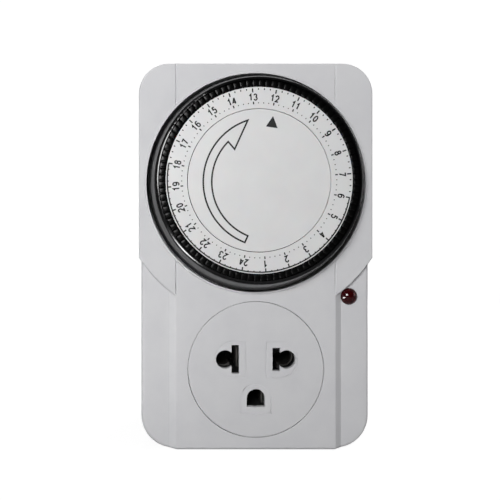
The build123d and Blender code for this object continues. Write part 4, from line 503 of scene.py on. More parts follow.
@dataclass(frozen=True)
class PadPrint(Finish):
    """Pad-printed ink: a thin matt film that covers a little less in places.

    Attributes:
        thin: sRGB hex colour of the ink where it lies thin.
        speck: width of the thin spots, mm.
    """

    thin: str = "#141415"
    speck: float = 0.5

    def work(self, surface: Surface) -> None:
        """Fine noise thins the ink here and there.

        Args:
            surface: the material in the making.
        """
        inputs = {"Vector": surface.place, "Scale": 1 / (self.speck * MM), "Detail": 3.0}
        cover = surface.add("TexNoise", inputs)[0]
        share = surface.add("MapRange", {"Value": cover, "From Min": 0.55, "From Max": 0.8})[0]
        ink = surface.add(
            "Mix", {0: share, 6: linear(self.colour), 7: linear(self.thin)}, data_type="RGBA"
        )[2]
        surface.assign(Base_Color=ink)


@dataclass(frozen=True)
class Enamelled(Finish):
    """Copper wire under clear enamel: warm metal below a smooth coat.

    Attributes:
        turn: distance between the turns, mm, drawn far coarser than the real 0.06 mm wire so that it shows.
        gap: sRGB hex colour between the turns.
    """

    turn: float = 0.4
    gap: str = "#6E3316"

    def work(self, surface: Surface) -> None:
        """Bands along the depth darken the gaps between the turns.

        Args:
            surface: the material in the making.
        """
        scale = math.pi / (10 * self.turn * MM)
        inputs = {"Vector": surface.place, "Scale": scale, "Distortion": 0.4, "Detail": 1.0}
        bands = surface.add("TexWave", inputs, wave_type="BANDS", bands_direction="Y")["Fac"]
        wound = surface.add(
            "Mix", {0: bands, 6: linear(self.gap), 7: linear(self.colour)}, data_type="RGBA"
        )[2]
        surface.assign(Base_Color=wound, Metallic=0.9, Coat_Weight=0.8, Coat_Roughness=0.12)


# Matt ABS from a spark-eroded mould: soft, even light grey with no hard reflection
CASE_ABS = MouldedPlastic(
    "abs_moulded_spark_textured_grey", "#D2D2D4", 0.64, shade="#CDCDD0", seam=True, sheen=0.2
)
# The same from a finer mould: a touch smoother, with painted shade darkening the walls far in the holes
INSERT_ABS = MouldedPlastic(
    "abs_moulded_fine_textured_grey", "#D1D1D3", 0.58, grain=0.35, shade="#CBCBCE", sheen=0.2,
    dark_below=CASE_FRONT - 2.0,
)
# Polystyrene from a smooth mould: whiter and a little silkier, for the printed faces
FACE_WHITE = MouldedPlastic(
    "polystyrene_moulded_smooth_white", "#DCDCDC", 0.4, grain=0.3, relief=0.001, shade="#D7D7D8", scatter=0.05
)
# ABS from a polished mould: near black with sharp bright reflections along the rim
RIM_BLACK = GlossPlastic("abs_moulded_polished_black", "#040405", 0.16)
# Acetal straight from the mould: slippery satin black, softer reflections than the rim
TAPPET_BLACK = MouldedPlastic(
    "acetal_moulded_satin_black", "#040404", 0.26, grain=0.25, relief=0.0005, shade="#020202",
    gloss_change=0.03, sheen=0.14,
)
# Natural acetal: creamy, slightly see-through white, as on any small gear
GEAR_ACETAL = MouldedPlastic(
    "acetal_moulded_natural", "#E6E3D6", 0.34, grain=0.2, relief=0.002, shade="#DEDAC9", scatter=0.15
)
# The same as thick plates: duller and a little yellower
FRAME_ACETAL = MouldedPlastic(
    "acetal_moulded_natural_plate", "#DEDBCD", 0.42, grain=0.3, shade="#D5D1C0", scatter=0.1
)
# Phenolic resin: brownish black with a dry, uneven gloss
SWITCH_BLACK = MouldedPlastic(
    "phenolic_moulded_black", "#1B1A19", 0.45, grain=0.25, shade="#232120", gloss_change=0.08
)
# Dyed nylon: full red that the light enters a little
LEVER_RED = MouldedPlastic(
    "nylon_moulded_red", "#A31F1B", 0.38, grain=0.3, relief=0.002, shade="#951A17", scatter=0.05
)
# Rolled brass strip, pressed: warm yellow with fine lines along the strip and brown patches
CONTACT_BRASS = WorkedMetal(
    "brass_rolled_and_pressed", "#C9A55A", 0.3, tint="#A98443", line=0.2, stretch=(1.0, 1.0, 0.05)
)
# Bronze strip, tinned and long in use: dull dark grey that just shows in the holes
SOCKET_TINNED = WorkedMetal(
    "bronze_rolled_tinned_dull", "#5E5D5B", 0.5, tint="#4A4846", line=0.2, stretch=(1.0, 1.0, 0.05)
)
# Nickel over drawn brass: warm silver with faint lines along the pin
PIN_NICKEL = WorkedMetal("brass_drawn_nickel_plated", "#C6C3BC", 0.22, tint="#B9B3A6", line=0.15)
# Zinc with a clear passivation: dull silver, bluish here and yellowish there
SCREW_ZINC = WorkedMetal(
    "steel_zinc_plated_passivated", "#B4B8BC", 0.38, tint="#B8B49C", line=0.3, stretch=(1.0, 1.0, 1.0)
)
# Ground steel: cold bright silver with fine lines along the pin
ARBOR_STEEL = WorkedMetal(
    "steel_ground_and_polished", "#BCBDBF", 0.15, tint="#B2B3B5", line=0.1, stretch=(0.1, 1.0, 0.1)
)
# Sintered ferrite: dark brownish grey, dry and grainy
MAGNET = MouldedPlastic(
    "ferrite_sintered_ground", "#2E2C2B", 0.55, grain=0.3, relief=0.006, shade="#262423", gloss_change=0.1
)
# Enamelled copper: orange brown turns with a wet gloss
WINDING = Enamelled("copper_wire_enamelled_wound", "#B8683A", 0.3)
# Clear red polycarbonate: dark wine red that lights up where light passes
LENS_RED = ClearMoulding("polycarbonate_moulded_clear_red", "#5E0810", 0.05, clearness=0.75)
# Soda glass: colourless, with clean bright edges
BULB_GLASS = ClearMoulding("soda_glass_drawn_clear", "#F4F1EA", 0.03, ior=1.52, clearness=1.0)
# Dipped lacquer: beige with rounded, uneven gloss
RESISTOR = MouldedPlastic("lacquer_dipped_beige", "#C9B182", 0.35, grain=0.5, relief=0.004, shade="#BFA674")
# Extruded PVC: full colours with the soft gloss of wire insulation
PVC_BROWN, PVC_RED, PVC_BLUE, PVC_WHITE = (
    MouldedPlastic(f"pvc_extruded_{dye}", colour, 0.4, grain=0.6, relief=0.004, shade=shade)
    for dye, colour, shade in (
        ("brown", "#6A3B22", "#5F341D"),
        ("red", "#9E2320", "#8F1D1B"),
        ("blue", "#2F5E9B", "#29548C"),
        ("white", "#DAD8D2", "#CFCCC4"),
    )
)
# Matt printing ink: dense black that lies a little thinner in spots
INK_BLACK = PadPrint("ink_pad_printed_black", "#050506", 0.62)


def dress(finish: Finish, *nodes: str) -> None:
    """Give CAD nodes a finish through their objects' material slots.

    Args:
        finish: the finish.
        nodes: names of the nodes.
    """
    for name in nodes:
        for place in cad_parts[name].material_slots:
            place.material = finish.material()
        log.info("node %s: %s", name, finish.name)


def fit(piece: Thing, finish: Finish, body: str, slot: Slot, *stands_for: str) -> None:
    """Finish a new piece, tie it to its body and hide the CAD nodes that it stands for.

    Args:
        piece: the new object.
        finish: its finish.
        body: CAD body that it rides on.
        slot: slot of the record that it takes after; not used.
        stands_for: CAD nodes that it replaces.
    """
    piece.data.materials.append(finish.material())
    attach(piece, body)
    if stands_for:
        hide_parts(*stands_for)
    log.info("piece %s on %s: %s", piece.name, body, finish.name)


# ---- sub-assemblies
@dataclass
class Case:
    """Two moulded shells and the four screws that hold them."""

    def build(self) -> None:
        """Dress the shells in textured ABS and the screws in zinc."""
        dress(CASE_ABS, "front_cover", "rear_cover")
        dress(SCREW_ZINC, "case_screws")


@dataclass
class Stroke:
    """One pen stroke of a digit in a box one wide and one high.

    Attributes:
        corners: points that straight lines join.
        centre: centre of an elliptic arc that the stroke starts with, or none.
        reach: half width and half height of the arc.
        turn: first and last angle of the arc, degrees.
        steps: points on the arc.
    """

    corners: tuple[Pair, ...] = ()
    centre: Pair | None = None
    reach: Pair = (0.5, 0.5)
    turn: Pair = (0.0, 360.0)
    steps: int = 20

    def line(self) -> Array:
        """Points along the stroke: centre + (rx cos a, rz sin a) for the arc, then the corners.

        Returns:
            Array of shape (points, 2).
        """
        if self.centre is None:
            return np.array(self.corners)
        arc = np.array(self.centre) + heading(np.linspace(*self.turn, self.steps)) * self.reach
        return np.concatenate([arc, np.array(self.corners).reshape(-1, 2)])


DIGITS = {
    "0": (Stroke(centre=(0.5, 0.5)),),
    "1": (Stroke(((0.12, 0.74), (0.62, 1.0), (0.62, 0.0))),),
    "2": (Stroke(((0.02, 0.0), (1.0, 0.0)), (0.5, 0.7), (0.48, 0.3), (170.0, -38.0)),),
    "3": (
        Stroke((), (0.46, 0.75), (0.44, 0.25), (165.0, -85.0)),
        Stroke((), (0.47, 0.26), (0.5, 0.26), (85.0, -165.0)),
    ),
    "4": (Stroke(((0.74, 0.0), (0.74, 1.0))), Stroke(((0.7, 1.0), (0.0, 0.28), (1.0, 0.28)))),
    "5": (
        Stroke(((0.92, 1.0), (0.18, 1.0), (0.1, 0.52))),
        Stroke((), (0.48, 0.32), (0.5, 0.32), (142.0, -160.0)),
    ),
    "6": (
        Stroke(centre=(0.5, 0.31), reach=(0.5, 0.31)),
        Stroke(((0.0, 0.31),), (0.54, 0.6), (0.54, 0.4), (42.0, 180.0)),
    ),
    "7": (Stroke(((0.0, 1.0), (1.0, 1.0), (0.36, 0.0))),),
    "8": (
        Stroke(centre=(0.5, 0.76), reach=(0.42, 0.24)),
        Stroke(centre=(0.5, 0.27), reach=(0.5, 0.27)),
    ),
    "9": (
        Stroke(centre=(0.5, 0.69), reach=(0.5, 0.31)),
        Stroke(((1.0, 0.69),), (0.46, 0.4), (0.54, 0.4), (222.0, 360.0)),
    ),
}


@dataclass
class DialPrint:
    """Ink on the number ring and on the centre disc, lengths from the dial's centre in millimetres.

    Attributes:
        digit: width and height of a digit between its pen lines.
        advance: from one digit to the next.
        pen: width of the digits' strokes.
        numeral_radius: middle of the numerals.
        outer_line: radius at which the outer ticks end.
        hour_tick: length and width of an hour's outer tick.
        quarter_tick: the same of the outer ticks between.
        inner_line: radius of the middle of the inner ticks.
        inner_hour: length and width of an hour's inner tick.
        inner_quarter: the same of the inner ticks between.
        night_line: inner and outer radius of the night arc.
        night: first and last hour of the night arc.
        night_steps: points along it.
        arrow_outer: centre and end points of the arrow's outer edge.
        arrow_inner: centre and end points of its inner edge.
        arrow_barb: inner corner of the arrow's head.
        arrow_stroke: width of the arrow's line.
        arrow_steps: points along each of its edges.
        pointer: corners of the pointer.
        sharpest: smallest cosine of half a turn for which a drawn line keeps its width.
    """

    digit: Pair = (0.88, 1.78)
    advance: float = 1.46
    pen: float = 0.4
    numeral_radius: float = 24.85
    outer_line: float = 27.5
    hour_tick: Pair = (1.2, 0.4)
    quarter_tick: Pair = (0.5, 0.32)
    inner_line: float = 23.13
    inner_hour: Pair = (0.8, 0.38)
    inner_quarter: Pair = (0.34, 0.26)
    night_line: Pair = (27.2, 27.62)
    night: Pair = (18.0, 30.0)
    night_steps: int = 97
    arrow_outer: tuple[Pair, ...] = ((2.68, -0.37), (-3.39, 17.94), (-4.28, -18.53))
    arrow_inner: tuple[Pair, ...] = ((3.12, -0.22), (-3.39, -16.53), (-9.24, 11.55))
    arrow_barb: Pair = (-7.33, 9.28)
    arrow_stroke: float = 0.5
    arrow_steps: int = 48
    pointer: tuple[Pair, ...] = ((4.14, 19.18), (1.99, 16.08), (5.51, 15.55))
    sharpest: float = 0.4

    def build(self) -> None:
        """Print the ring's scale and numerals, and the disc's arrow and pointer."""
        for piece in (self.scale(), self.numerals()):
            fit(piece, INK_BLACK, Body.DIAL.value, Slot.DIAL_FACE)
        for piece in (self.arrow(), self.pointer_mark()):
            fit(piece, INK_BLACK, Body.CASE.value, Slot.DIAL_FACE)

    def bars(self, angle: Array, middle: float, size: Pair) -> Array:
        """Radial bars, one at each angle.

        The four corners of a bar are its middle line's ends moved sideways by half its width.

        Args:
            angle: angles in degrees.
            middle: radius of the bars' middles.
            size: length and width of a bar.

        Returns:
            Array of shape (bars, 4, 2), counter-clockwise.
        """
        out = heading(angle)[:, None]
        side = out[..., ::-1] * (1, -1)
        along = middle + np.array([-1, 1, 1, -1])[:, None] * size[0] / 2
        across = np.array([1, 1, -1, -1])[:, None] * size[1] / 2
        return DIAL_CENTRE + out * along + side * across

    def scale(self) -> Thing:
        """Ticks at every hour and quarter, outside and inside, and the bold arc over the night hours.

        Returns:
            The object.
        """
        hours = MIDNIGHT + HOUR_ANGLE * np.arange(HOURS)
        quarters = (hours[:, None] + QUARTER_ANGLE * np.arange(1, 4)).ravel()
        ticks = np.concatenate(
            [
                self.bars(hours, self.outer_line - self.hour_tick[0] / 2, self.hour_tick),
                self.bars(quarters, self.outer_line - self.quarter_tick[0] / 2, self.quarter_tick),
                self.bars(hours, self.inner_line, self.inner_hour),
                self.bars(quarters, self.inner_line, self.inner_quarter),
            ]
        )
        angle = MIDNIGHT + HOUR_ANGLE * np.linspace(*self.night, self.night_steps)
        edges = [DIAL_CENTRE + radius * heading(angle) for radius in self.night_line]
        bars = np.arange(ticks.shape[0] * 4).reshape(-1, 4)
        arc = grid_faces(2, self.night_steps)[:, ::-1] + bars.size
        points = inked(np.concatenate([ticks.reshape(-1, 2), *edges]))
        return mesh_object("ring_scale", points, [bars, arc])

    def ribbon(self, line: Array, width: float, closed: bool = False) -> Array:
        """Widen a line by half a width to both sides.

        At each corner the line is moved along the mean of its two side directions, lengthened by one over the
        cosine of half the turn, which is held at its smallest value at sharp tips.

        Args:
            line: array of shape (points, 2).
            width: width of the ribbon.
            closed: the last point joins the first.

        Returns:
            Array of shape (2, points, 2): the right edge and the left edge.
        """
        ahead = np.roll(line, -1, axis=0) - line
        if not closed:
            ahead[-1] = ahead[-2]
        ahead /= np.linalg.norm(ahead, axis=1, keepdims=True)
        behind = np.roll(ahead, 1, axis=0)
        if not closed:
            behind[0] = ahead[0]
        side = np.stack([-(ahead + behind)[:, 1], (ahead + behind)[:, 0]], axis=-1)
        side /= np.linalg.norm(side, axis=1, keepdims=True)
        half_turn = np.clip(side[:, 1] * ahead[:, 0] - side[:, 0] * ahead[:, 1], self.sharpest, 1.0)
        shift = side / half_turn[:, None] * width / 2
        return np.stack([line - shift, line + shift])

    def numerals(self) -> Thing:
        """Hours 1 to 24 with their tops outwards, each digit drawn with a pen of one width.

        A digit point (u, v), centred on its number, goes to the number's place plus u sideways and v
        outwards.

        Returns:
            The object.
        """
        points, faces, start = [], [], 0
        for hour in range(1, HOURS + 1):
            out = heading(MIDNIGHT + HOUR_ANGLE * hour)
            side = out[::-1] * (1, -1)
            centre = DIAL_CENTRE + self.numeral_radius * out
            word = str(hour)
            for place, letter in enumerate(word):
                shift = (place - (len(word) - 1) / 2) * self.advance
                for stroke in DIGITS[letter]:
                    flat = (stroke.line() - 0.5) * self.digit + (shift, 0.0)
                    edges = self.ribbon(flat, self.pen).reshape(-1, 2)
                    points.append(centre + edges[:, :1] * side + edges[:, 1:] * out)
                    faces.append(grid_faces(2, len(flat)) + start)
                    start += len(edges)
        placed = inked(np.concatenate(points))
        return mesh_object("hour_numerals", placed, faces)

    def edge_arc(self, spots: tuple[Pair, ...], turn: int) -> Array:
        """Arc between two points about a centre; its radius goes evenly from the first's to the last's.

        Args:
            spots: centre, first point and last point.
            turn: 1 for counter-clockwise, -1 for clockwise.

        Returns:
            Array of shape (points, 2).
        """
        centre, *ends = np.array(spots)
        from_centre = ends - centre
        radius = np.hypot(*from_centre.T)
        angle = np.arctan2(from_centre[:, 1], from_centre[:, 0])
        sweep = (turn * (angle[1] - angle[0])) % (2 * np.pi)
        share = np.linspace(0, 1, self.arrow_steps)
        way = angle[0] + turn * sweep * share
        reach = radius[0] + (radius[1] - radius[0]) * share
        return centre + reach[:, None] * np.stack([np.cos(way), np.sin(way)], axis=-1)

    def arrow(self) -> Thing:
        """Outline of the curved arrow: its two arcs and its barb, joined into one closed line.

        Returns:
            The object.
        """
        arcs = (self.edge_arc(self.arrow_outer, 1), self.edge_arc(self.arrow_inner, -1))
        line = np.concatenate([*arcs, [self.arrow_barb]])
        edges = self.ribbon(line, self.arrow_stroke, closed=True).reshape(-1, 2) + DIAL_CENTRE
        faces = grid_faces(2, len(line), wrap_columns=True)
        return mesh_object("disc_arrow", inked(edges), [faces])

    def pointer_mark(self) -> Thing:
        """Solid triangle that points at the time."""
        corners = inked(np.array(self.pointer) + DIAL_CENTRE)
        return mesh_object("disc_pointer", corners, [np.array([[0, 1, 2]])])


@dataclass
class Tappets:
    """Push-down tappets, one for each quarter of an hour, in groups that share a body.

    Each head is a block narrower inside than outside, with rounded upright corners and a crowned, bevelled
    top; its foot passes through the channel's floor.

    Attributes:
        radius: middle of the channel.
        inner: inner face of a head, from the dial's centre.
        outer: outer face of a head.
        gap: between neighbours.
        top: depth of the crown.
        head: height of a head.
        foot: length of a foot.
        foot_size: foot along the radius and across it.
        corner: cut off each upright corner.
        crown: height of the crown over the bevel.
        bevel: width of the top's bevel.
        bevel_line: steps up the bevel, in shares of its width: how far in and how far below its top.
    """

    radius: float = 29.05
    inner: float = 28.12
    outer: float = 29.98
    gap: float = 0.2
    top: float = 46.3
    head: float = 6.1
    foot: float = 5.1
    foot_size: Pair = (1.5, 0.9)
    corner: float = 0.18
    crown: float = 0.05
    bevel: float = 0.2
    bevel_line: tuple[Pair, ...] = ((0.0, 0.55), (0.3, 0.2), (1.0, 0.0))

    def one(self) -> tuple[Array, list[Array]]:
        """Points of one tappet, as (radius, sideways, depth), and its faces.

        Rings of points go up the head, from its foot end over the steps of the bevel.  Each ring is the
        head's outline drawn in by that ring's inset.  The middles of the crown and of the base and the foot's
        corners follow them.

        Returns:
            Points of shape (points, 3) and the sets of faces.
        """
        half_pitch = math.tan(math.pi / TAPPETS)
        inwards, below = np.array(self.bevel_line).T * self.bevel
        insets = np.concatenate([[0.0], inwards])[:, None]
        heights = self.top - np.concatenate([[self.head], below + self.crown])
        low, high = self.inner + insets, self.outer - insets
        low_half = low * half_pitch - self.gap / 2 - insets
        high_half = high * half_pitch - self.gap / 2 - insets
        cut = self.corner
        across = np.concatenate([low + cut, high - cut, high, high, high - cut, low + cut, low, low], axis=1)
        right = (-low_half, -high_half, cut - high_half)
        left = (high_half - cut, high_half, low_half)
        sideways = np.concatenate([*right, *left, low_half - cut, cut - low_half], axis=1)
        upwards = np.broadcast_to(heights[:, None], across.shape)
        rings = np.stack([across, sideways, upwards], axis=-1).reshape(-1, 3)
        neck = self.top - self.head
        middles = np.array([[self.radius, 0, self.top], [self.radius, 0, neck]])
        signs = np.array([[-1, -1], [1, -1], [1, 1], [-1, 1]])
        outline = signs * self.foot_size / 2 + (self.radius, 0)
        foot = np.concatenate([np.insert(outline, 2, end, axis=1) for end in (neck, neck - self.foot)])
        steps, corners = across.shape
        crown, base = len(rings), len(rings) + 1
        ring = np.arange(corners)
        following = (ring + 1) % corners
        top = crown - corners
        cap_faces = np.stack([top + ring, top + following, np.full(corners, crown)], axis=-1)
        base_faces = np.stack([following, ring, np.full(corners, base)], axis=-1)
        foot_sides = grid_faces(2, 4, wrap_columns=True)[:, ::-1]
        foot_faces = np.concatenate([foot_sides, [[4, 5, 6, 7]], [[3, 2, 1, 0]]]) + base + 1
        side_faces = grid_faces(steps, corners, wrap_columns=True)
        return np.concatenate([rings, middles, foot]), [side_faces, cap_faces, base_faces, foot_faces]

    def build(self) -> None:
        """Repeat the tappet round the channel, group by group, and ride each group on its own body."""
        points, face_sets = self.one()
        along, side, depth = points.T
        for group in range(GROUPS):
            places = GROUP_SIZE * group + 0.5 + np.arange(GROUP_SIZE)
            angle = np.radians(MIDNIGHT + QUARTER_ANGLE * places)[:, None]
            x = DIAL_CENTRE[0] + along * np.cos(angle) - side * np.sin(angle)
            z = DIAL_CENTRE[1] + along * np.sin(angle) + side * np.cos(angle)
            placed = np.stack([x, -np.broadcast_to(depth, x.shape), z], axis=-1).reshape(-1, 3)
            start = (len(points) * np.arange(GROUP_SIZE))[:, None, None]
            repeated = [(faces[None] + start).reshape(-1, faces.shape[1]) for faces in face_sets]
            first = GROUP_HOURS * group
            name = f"tappets_{first:02d}_to_{first + GROUP_HOURS:02d}"
            piece = mesh_object(f"{name}_heads", placed, repeated, smooth_below=50)
            fit(piece, TAPPET_BLACK, name, Slot.TAPPET, name)


@dataclass
class Dial:
    """Turning drum with its number ring, and the fixed disc in its middle."""

    tappets: Tappets = field(default_factory=Tappets)
    ink: DialPrint = field(default_factory=DialPrint)

    def build(self) -> None:
        """Dress the drum and the faces, then make the tappets and the print."""
        dress(RIM_BLACK, "dial_drum")
        dress(FACE_WHITE, "number_ring", "centre_disc")
        dress(GEAR_ACETAL, "dial_retainer")
        dress(SCREW_ZINC, "dial_screw")
        self.tappets.build()
        self.ink.build()


@dataclass
class Outlet:
    """Outlet insert, its contacts, and the plug's blades and earth pin behind."""

    def build(self) -> None:
        """Dress the insert, its screws, the contacts and the pins."""
        dress(INSERT_ABS, "socket_insert")
        dress(SCREW_ZINC, "insert_screws")
        dress(SOCKET_TINNED, "neutral_contact", "live_contact", "earth_contact")
        dress(CONTACT_BRASS, "contact_rivet")
        dress(PIN_NICKEL, "neutral_blade", "live_blade", "earth_pin")


@dataclass
class Movement:
    """Gear train between its two plates, with the motor behind.

    Attributes:
        coil_inner: inner radius of the winding.
        turns: turns drawn along the winding.
        turn_steps: steps over the outside of one turn.
        round_steps: steps round the coil.
    """

    coil_inner: float = 9.42
    turns: int = 16
    turn_steps: int = 6
    round_steps: int = 96

    def build(self) -> None:
        """Dress the train, its frame and the motor, and wind the coil."""
        dress(GEAR_ACETAL, "output_pinion", "clutch_wheel", "third_wheel", "second_wheel", "first_wheel")
        dress(FRAME_ACETAL, "front_plate", "rear_plate", "motor_bobbin")
        dress(SCREW_ZINC, "movement_screws", "motor_screws", "motor_can")
        dress(CONTACT_BRASS, "clutch_spring")
        dress(ARBOR_STEEL, "gear_arbors")
        dress(MAGNET, "motor_rotor")
        fit(self.winding(), WINDING, Body.CASE.value, Slot.WINDING, "motor_coil")

    def winding(self) -> Thing:
        """Wound coil: a ring whose outside is a row of half-round turns.

        The outer radius at a share s of the width is the largest radius less half a wire times one minus the
        size of sin(pi s n), for n turns.

        Returns:
            The object.
        """
        low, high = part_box("motor_coil")
        centre = ((low.x + high.x) / 2 / MM, (low.z + high.z) / 2 / MM)
        back, front = -high.y / MM, -low.y / MM
        share = np.linspace(0, 1, self.turn_steps * self.turns + 1)
        wire = (front - back) / self.turns
        outer = (high.x - low.x) / 2 / MM - wire / 2 * (1 - np.abs(np.sin(np.pi * share * self.turns)))
        outside = np.stack([outer, back + (front - back) * share], axis=-1)
        profile = np.concatenate([outside, [[self.coil_inner, front], [self.coil_inner, back]]])
        return turned("motor_winding", profile, centre, self.round_steps)


@dataclass
class TimerContact:
    """Lever under the tappets, the snap switch that it works and the override switch beside the outlet."""

    def build(self) -> None:
        """Dress the lever, the switches, their pins and terminals."""
        dress(LEVER_RED, "switch_lever", "override_knob")
        dress(SWITCH_BLACK, "snap_switch", "override_switch")
        dress(GEAR_ACETAL, "switch_plunger")
        dress(ARBOR_STEEL, "lever_pivot_pin", "switch_fixing_pins")
        dress(CONTACT_BRASS, "switch_terminals")


@dataclass
class Indicator:
    """Dark red lens with a neon lamp behind it."""

    def build(self) -> None:
        """Dress the lens, the lamp and its resistor."""
        dress(LENS_RED, "indicator_lens")
        dress(BULB_GLASS, "neon_lamp")
        dress(RESISTOR, "lamp_resistor")


@dataclass
class Wiring:
    """Insulated wires inside the case."""

    def build(self) -> None:
        """Dress each wire in the colour of its work."""
        dress(PVC_BROWN, "live_feed_wire", "override_wires")
        dress(PVC_RED, "switched_live_wire")
        dress(PVC_BLUE, "motor_leads")
        dress(PVC_WHITE, "lamp_wires")


# ---- studio
@dataclass(frozen=True)
class Lamp:
    """Soft rectangular lamp.

    Attributes:
        name: its name.
        place: its middle, millimetres.
        target: point that it faces.
        size: its width and height.
        power: watts.
        matt: it lights matt surfaces.
        gloss: it shows in glossy ones.
    """

    name: str
    place: Triple
    target: Triple
    size: Pair
    power: float
    matt: bool = True
    gloss: bool = True

    def hang(self) -> None:
        """Put the lamp into the scene, out of the camera's sight."""
        data = bpy.data.lights.new(self.name, "AREA")
        data.shape = "RECTANGLE"
        data.size, data.size_y = self.size[0] * MM, self.size[1] * MM
        data.energy = self.power
        made = bpy.data.objects.new(self.name, data)
        made.location = Vector(self.place) * MM
        made.rotation_euler = (Vector(self.target) - Vector(self.place)).to_track_quat("-Z", "Y").to_euler()
        made.visible_camera, made.visible_diffuse, made.visible_glossy = False, self.matt, self.gloss
        bpy.context.scene.collection.objects.link(made)


LAMPS = (
    Lamp("key_lamp", (-125, -370, 150), (0, -40, 40), (130, 130), 1.08),
    Lamp("top_lamp", (0, 60, 480), (0, 0, 30), (400, 240), 0.5),
    Lamp("rear_lamp", (260, 380, 160), (0, 0, 30), (220, 220), 1.6, gloss=False),
    Lamp("side_lamp", (420, -120, 120), (30, -20, 30), (200, 200), 0.12),
    Lamp("low_gloss_lamp", (-72, -92, -14), (-17, -46, 28), (60, 26), 0.15, matt=False),
)


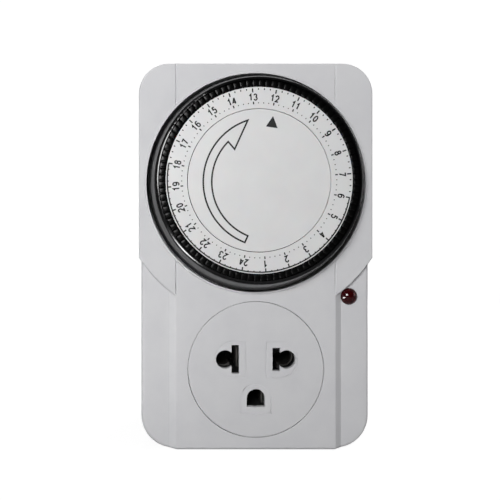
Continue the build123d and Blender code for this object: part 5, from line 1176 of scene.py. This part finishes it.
@dataclass
class Studio:
    """Pale floor that sweeps up into a backdrop, soft lamps, the room around and the camera.

    Attributes:
        floor: height of the floor: the case's lowest edge.
        half_width: half the width of the sweep.
        flat: where the flat floor starts and ends, along y.
        bend: radius of the sweep's bend.
        bend_steps: points along the bend.
        wall: height of the backdrop above the bend.
        paper_lit: sRGB hex colour of the paper that is seen, under its glow.
        paper_plain: the same of the paper that lights the object.
        glow: strength of the glow on the floor and on the backdrop.
        glow_place: where along y it changes, metres.
        room: strength of the room's light on matt surfaces.
        mirrored_room: its strength in gloss, in front and behind.
        room_way: y of the directions between which it changes.
        camera: camera's place.
        lens: focal length on a 36 mm sensor.
        shift: camera's shift, in frame widths.
    """

    floor: float = -28.1
    half_width: float = 900.0
    flat: Pair = (-700.0, 420.0)
    bend: float = 260.0
    bend_steps: int = 24
    wall: float = 700.0
    paper_lit: str = "#777777"
    paper_plain: str = "#8C8C8C"
    glow: Pair = (0.9, 1.0)
    glow_place: Pair = (0.1, 0.45)
    room: float = 0.14
    mirrored_room: Pair = (0.02, 0.35)
    room_way: Pair = (-0.5, 0.6)
    camera: Triple = (-27.2, -200.0, 34.2)
    lens: float = 37.2
    shift: Pair = (0.164, -0.0018)

    def build(self) -> None:
        """Set up the sweep, the lamps, the world and the camera."""
        self.sweep()
        for lamp in LAMPS:
            lamp.hang()
        self.world()
        self.view()

    def sweep(self) -> None:
        """Floor and backdrop in one sheet: flat run, quarter circle and upright run, carried along x."""
        turn = np.linspace(0, np.pi / 2, self.bend_steps)
        front, back = self.flat
        along = np.concatenate([[front], back + self.bend * np.sin(turn), [back + self.bend]])
        up = np.concatenate([[0.0], self.bend * (1 - np.cos(turn)), [self.bend + self.wall]]) + self.floor
        sides = (-self.half_width, self.half_width)
        rows = [np.stack([np.full(len(along), x), along, up], axis=-1) for x in sides]
        faces = grid_faces(2, len(along))[:, ::-1]
        sheet = mesh_object("paper_sweep", np.concatenate(rows), [faces], smooth_below=60, turn_out=False)
        sheet.data.materials.append(self.paper())

    def paper(self) -> bpy.types.Material:
        """White paper: seen straight it glows to white, less what the object's shadow takes away.

        Returns:
            The material.
        """
        made = bpy.data.materials.new("paper_matt_white")
        made.use_nodes = True
        nodes = Nodes(made.node_tree)
        nodes.tree.nodes.clear()
        ray = nodes.add("LightPath")
        depth = nodes.add("SeparateXYZ", {"Vector": nodes.add("TexCoord")["Object"]})["Y"]
        span = (*self.glow_place, *self.glow)
        glow = nodes.add("MapRange", {"Value": depth, **dict(zip(ENDS, span))})[0]
        lit = nodes.add("BsdfDiffuse", {"Color": linear(self.paper_lit)})[0]
        shown = nodes.add("AddShader", {0: lit, 1: nodes.add("Emission", {"Strength": glow})[0]})[0]
        plain = nodes.add("BsdfDiffuse", {"Color": linear(self.paper_plain)})[0]
        seen = nodes.add(
            "Math", {0: ray["Is Camera Ray"], 1: ray["Is Transmission Ray"]}, operation="MAXIMUM"
        )[0]
        chosen = nodes.add("MixShader", {0: seen, 1: plain, 2: shown})[0]
        behind = nodes.add("NewGeometry")["Backfacing"]
        hidden = nodes.add("Math", {0: behind, 1: ray["Is Camera Ray"]}, operation="MULTIPLY")[0]
        both = nodes.add("MixShader", {0: hidden, 1: chosen, 2: nodes.add("BsdfTransparent")[0]})[0]
        nodes.add("OutputMaterial", {"Surface": both})
        return made

    def world(self) -> None:
        """Even weak light from all round: white for the eye, dark in gloss towards the front of the room."""
        made = bpy.data.worlds.new("studio_room")
        made.use_nodes = True
        bpy.context.scene.world = made
        nodes = Nodes(made.node_tree)
        nodes.tree.nodes.clear()
        ray = nodes.add("LightPath")
        mirrored = {0: ray["Is Glossy Ray"], 1: ray["Is Transmission Ray"]}
        seen = {0: nodes.add("Math", mirrored, operation="MAXIMUM")[0], 1: ray["Is Camera Ray"]}
        way = nodes.add("SeparateXYZ", {"Vector": nodes.add("TexCoord")["Generated"]})["Y"]
        span = (*self.room_way, *self.mirrored_room)
        room = nodes.add("MapRange", {"Value": way, **dict(zip(ENDS, span))})[0]
        shown = nodes.add("Math", {0: room, 1: ray["Is Camera Ray"]}, operation="MAXIMUM")[0]
        share = nodes.add("Math", seen, operation="MAXIMUM")[0]
        strength = nodes.add("Mix", {0: share, 2: self.room, 3: shown}, data_type="FLOAT")[0]
        light = nodes.add("Background", {"Color": linear("#FFFFFF"), "Strength": strength})[0]
        nodes.add("OutputWorld", {"Surface": light})

    def view(self) -> None:
        """Place the camera straight before the front, a little left of the middle."""
        data = bpy.data.cameras.new("front_camera")
        data.lens = self.lens
        data.sensor_width = 36.0
        data.shift_x, data.shift_y = self.shift
        data.clip_start, data.clip_end = 0.005, 20.0
        made = bpy.data.objects.new("front_camera", data)
        made.location = Vector(self.camera) * MM
        made.rotation_euler = (math.pi / 2, 0.0, 0.0)
        bpy.context.scene.collection.objects.link(made)
        bpy.context.scene.camera = made
        bpy.context.scene.view_settings.view_transform = "Standard"


def main() -> None:
    """Build and dress the timer, sub-assembly by sub-assembly, in its studio."""
    logging.basicConfig(level=logging.INFO, format="%(message)s")
    for assembly in (Case(), Dial(), Outlet(), Movement(), TimerContact(), Indicator(), Wiring(), Studio()):
        log.info("building %s", type(assembly).__name__)
        assembly.build()


if __name__ == "__main__":
    main()
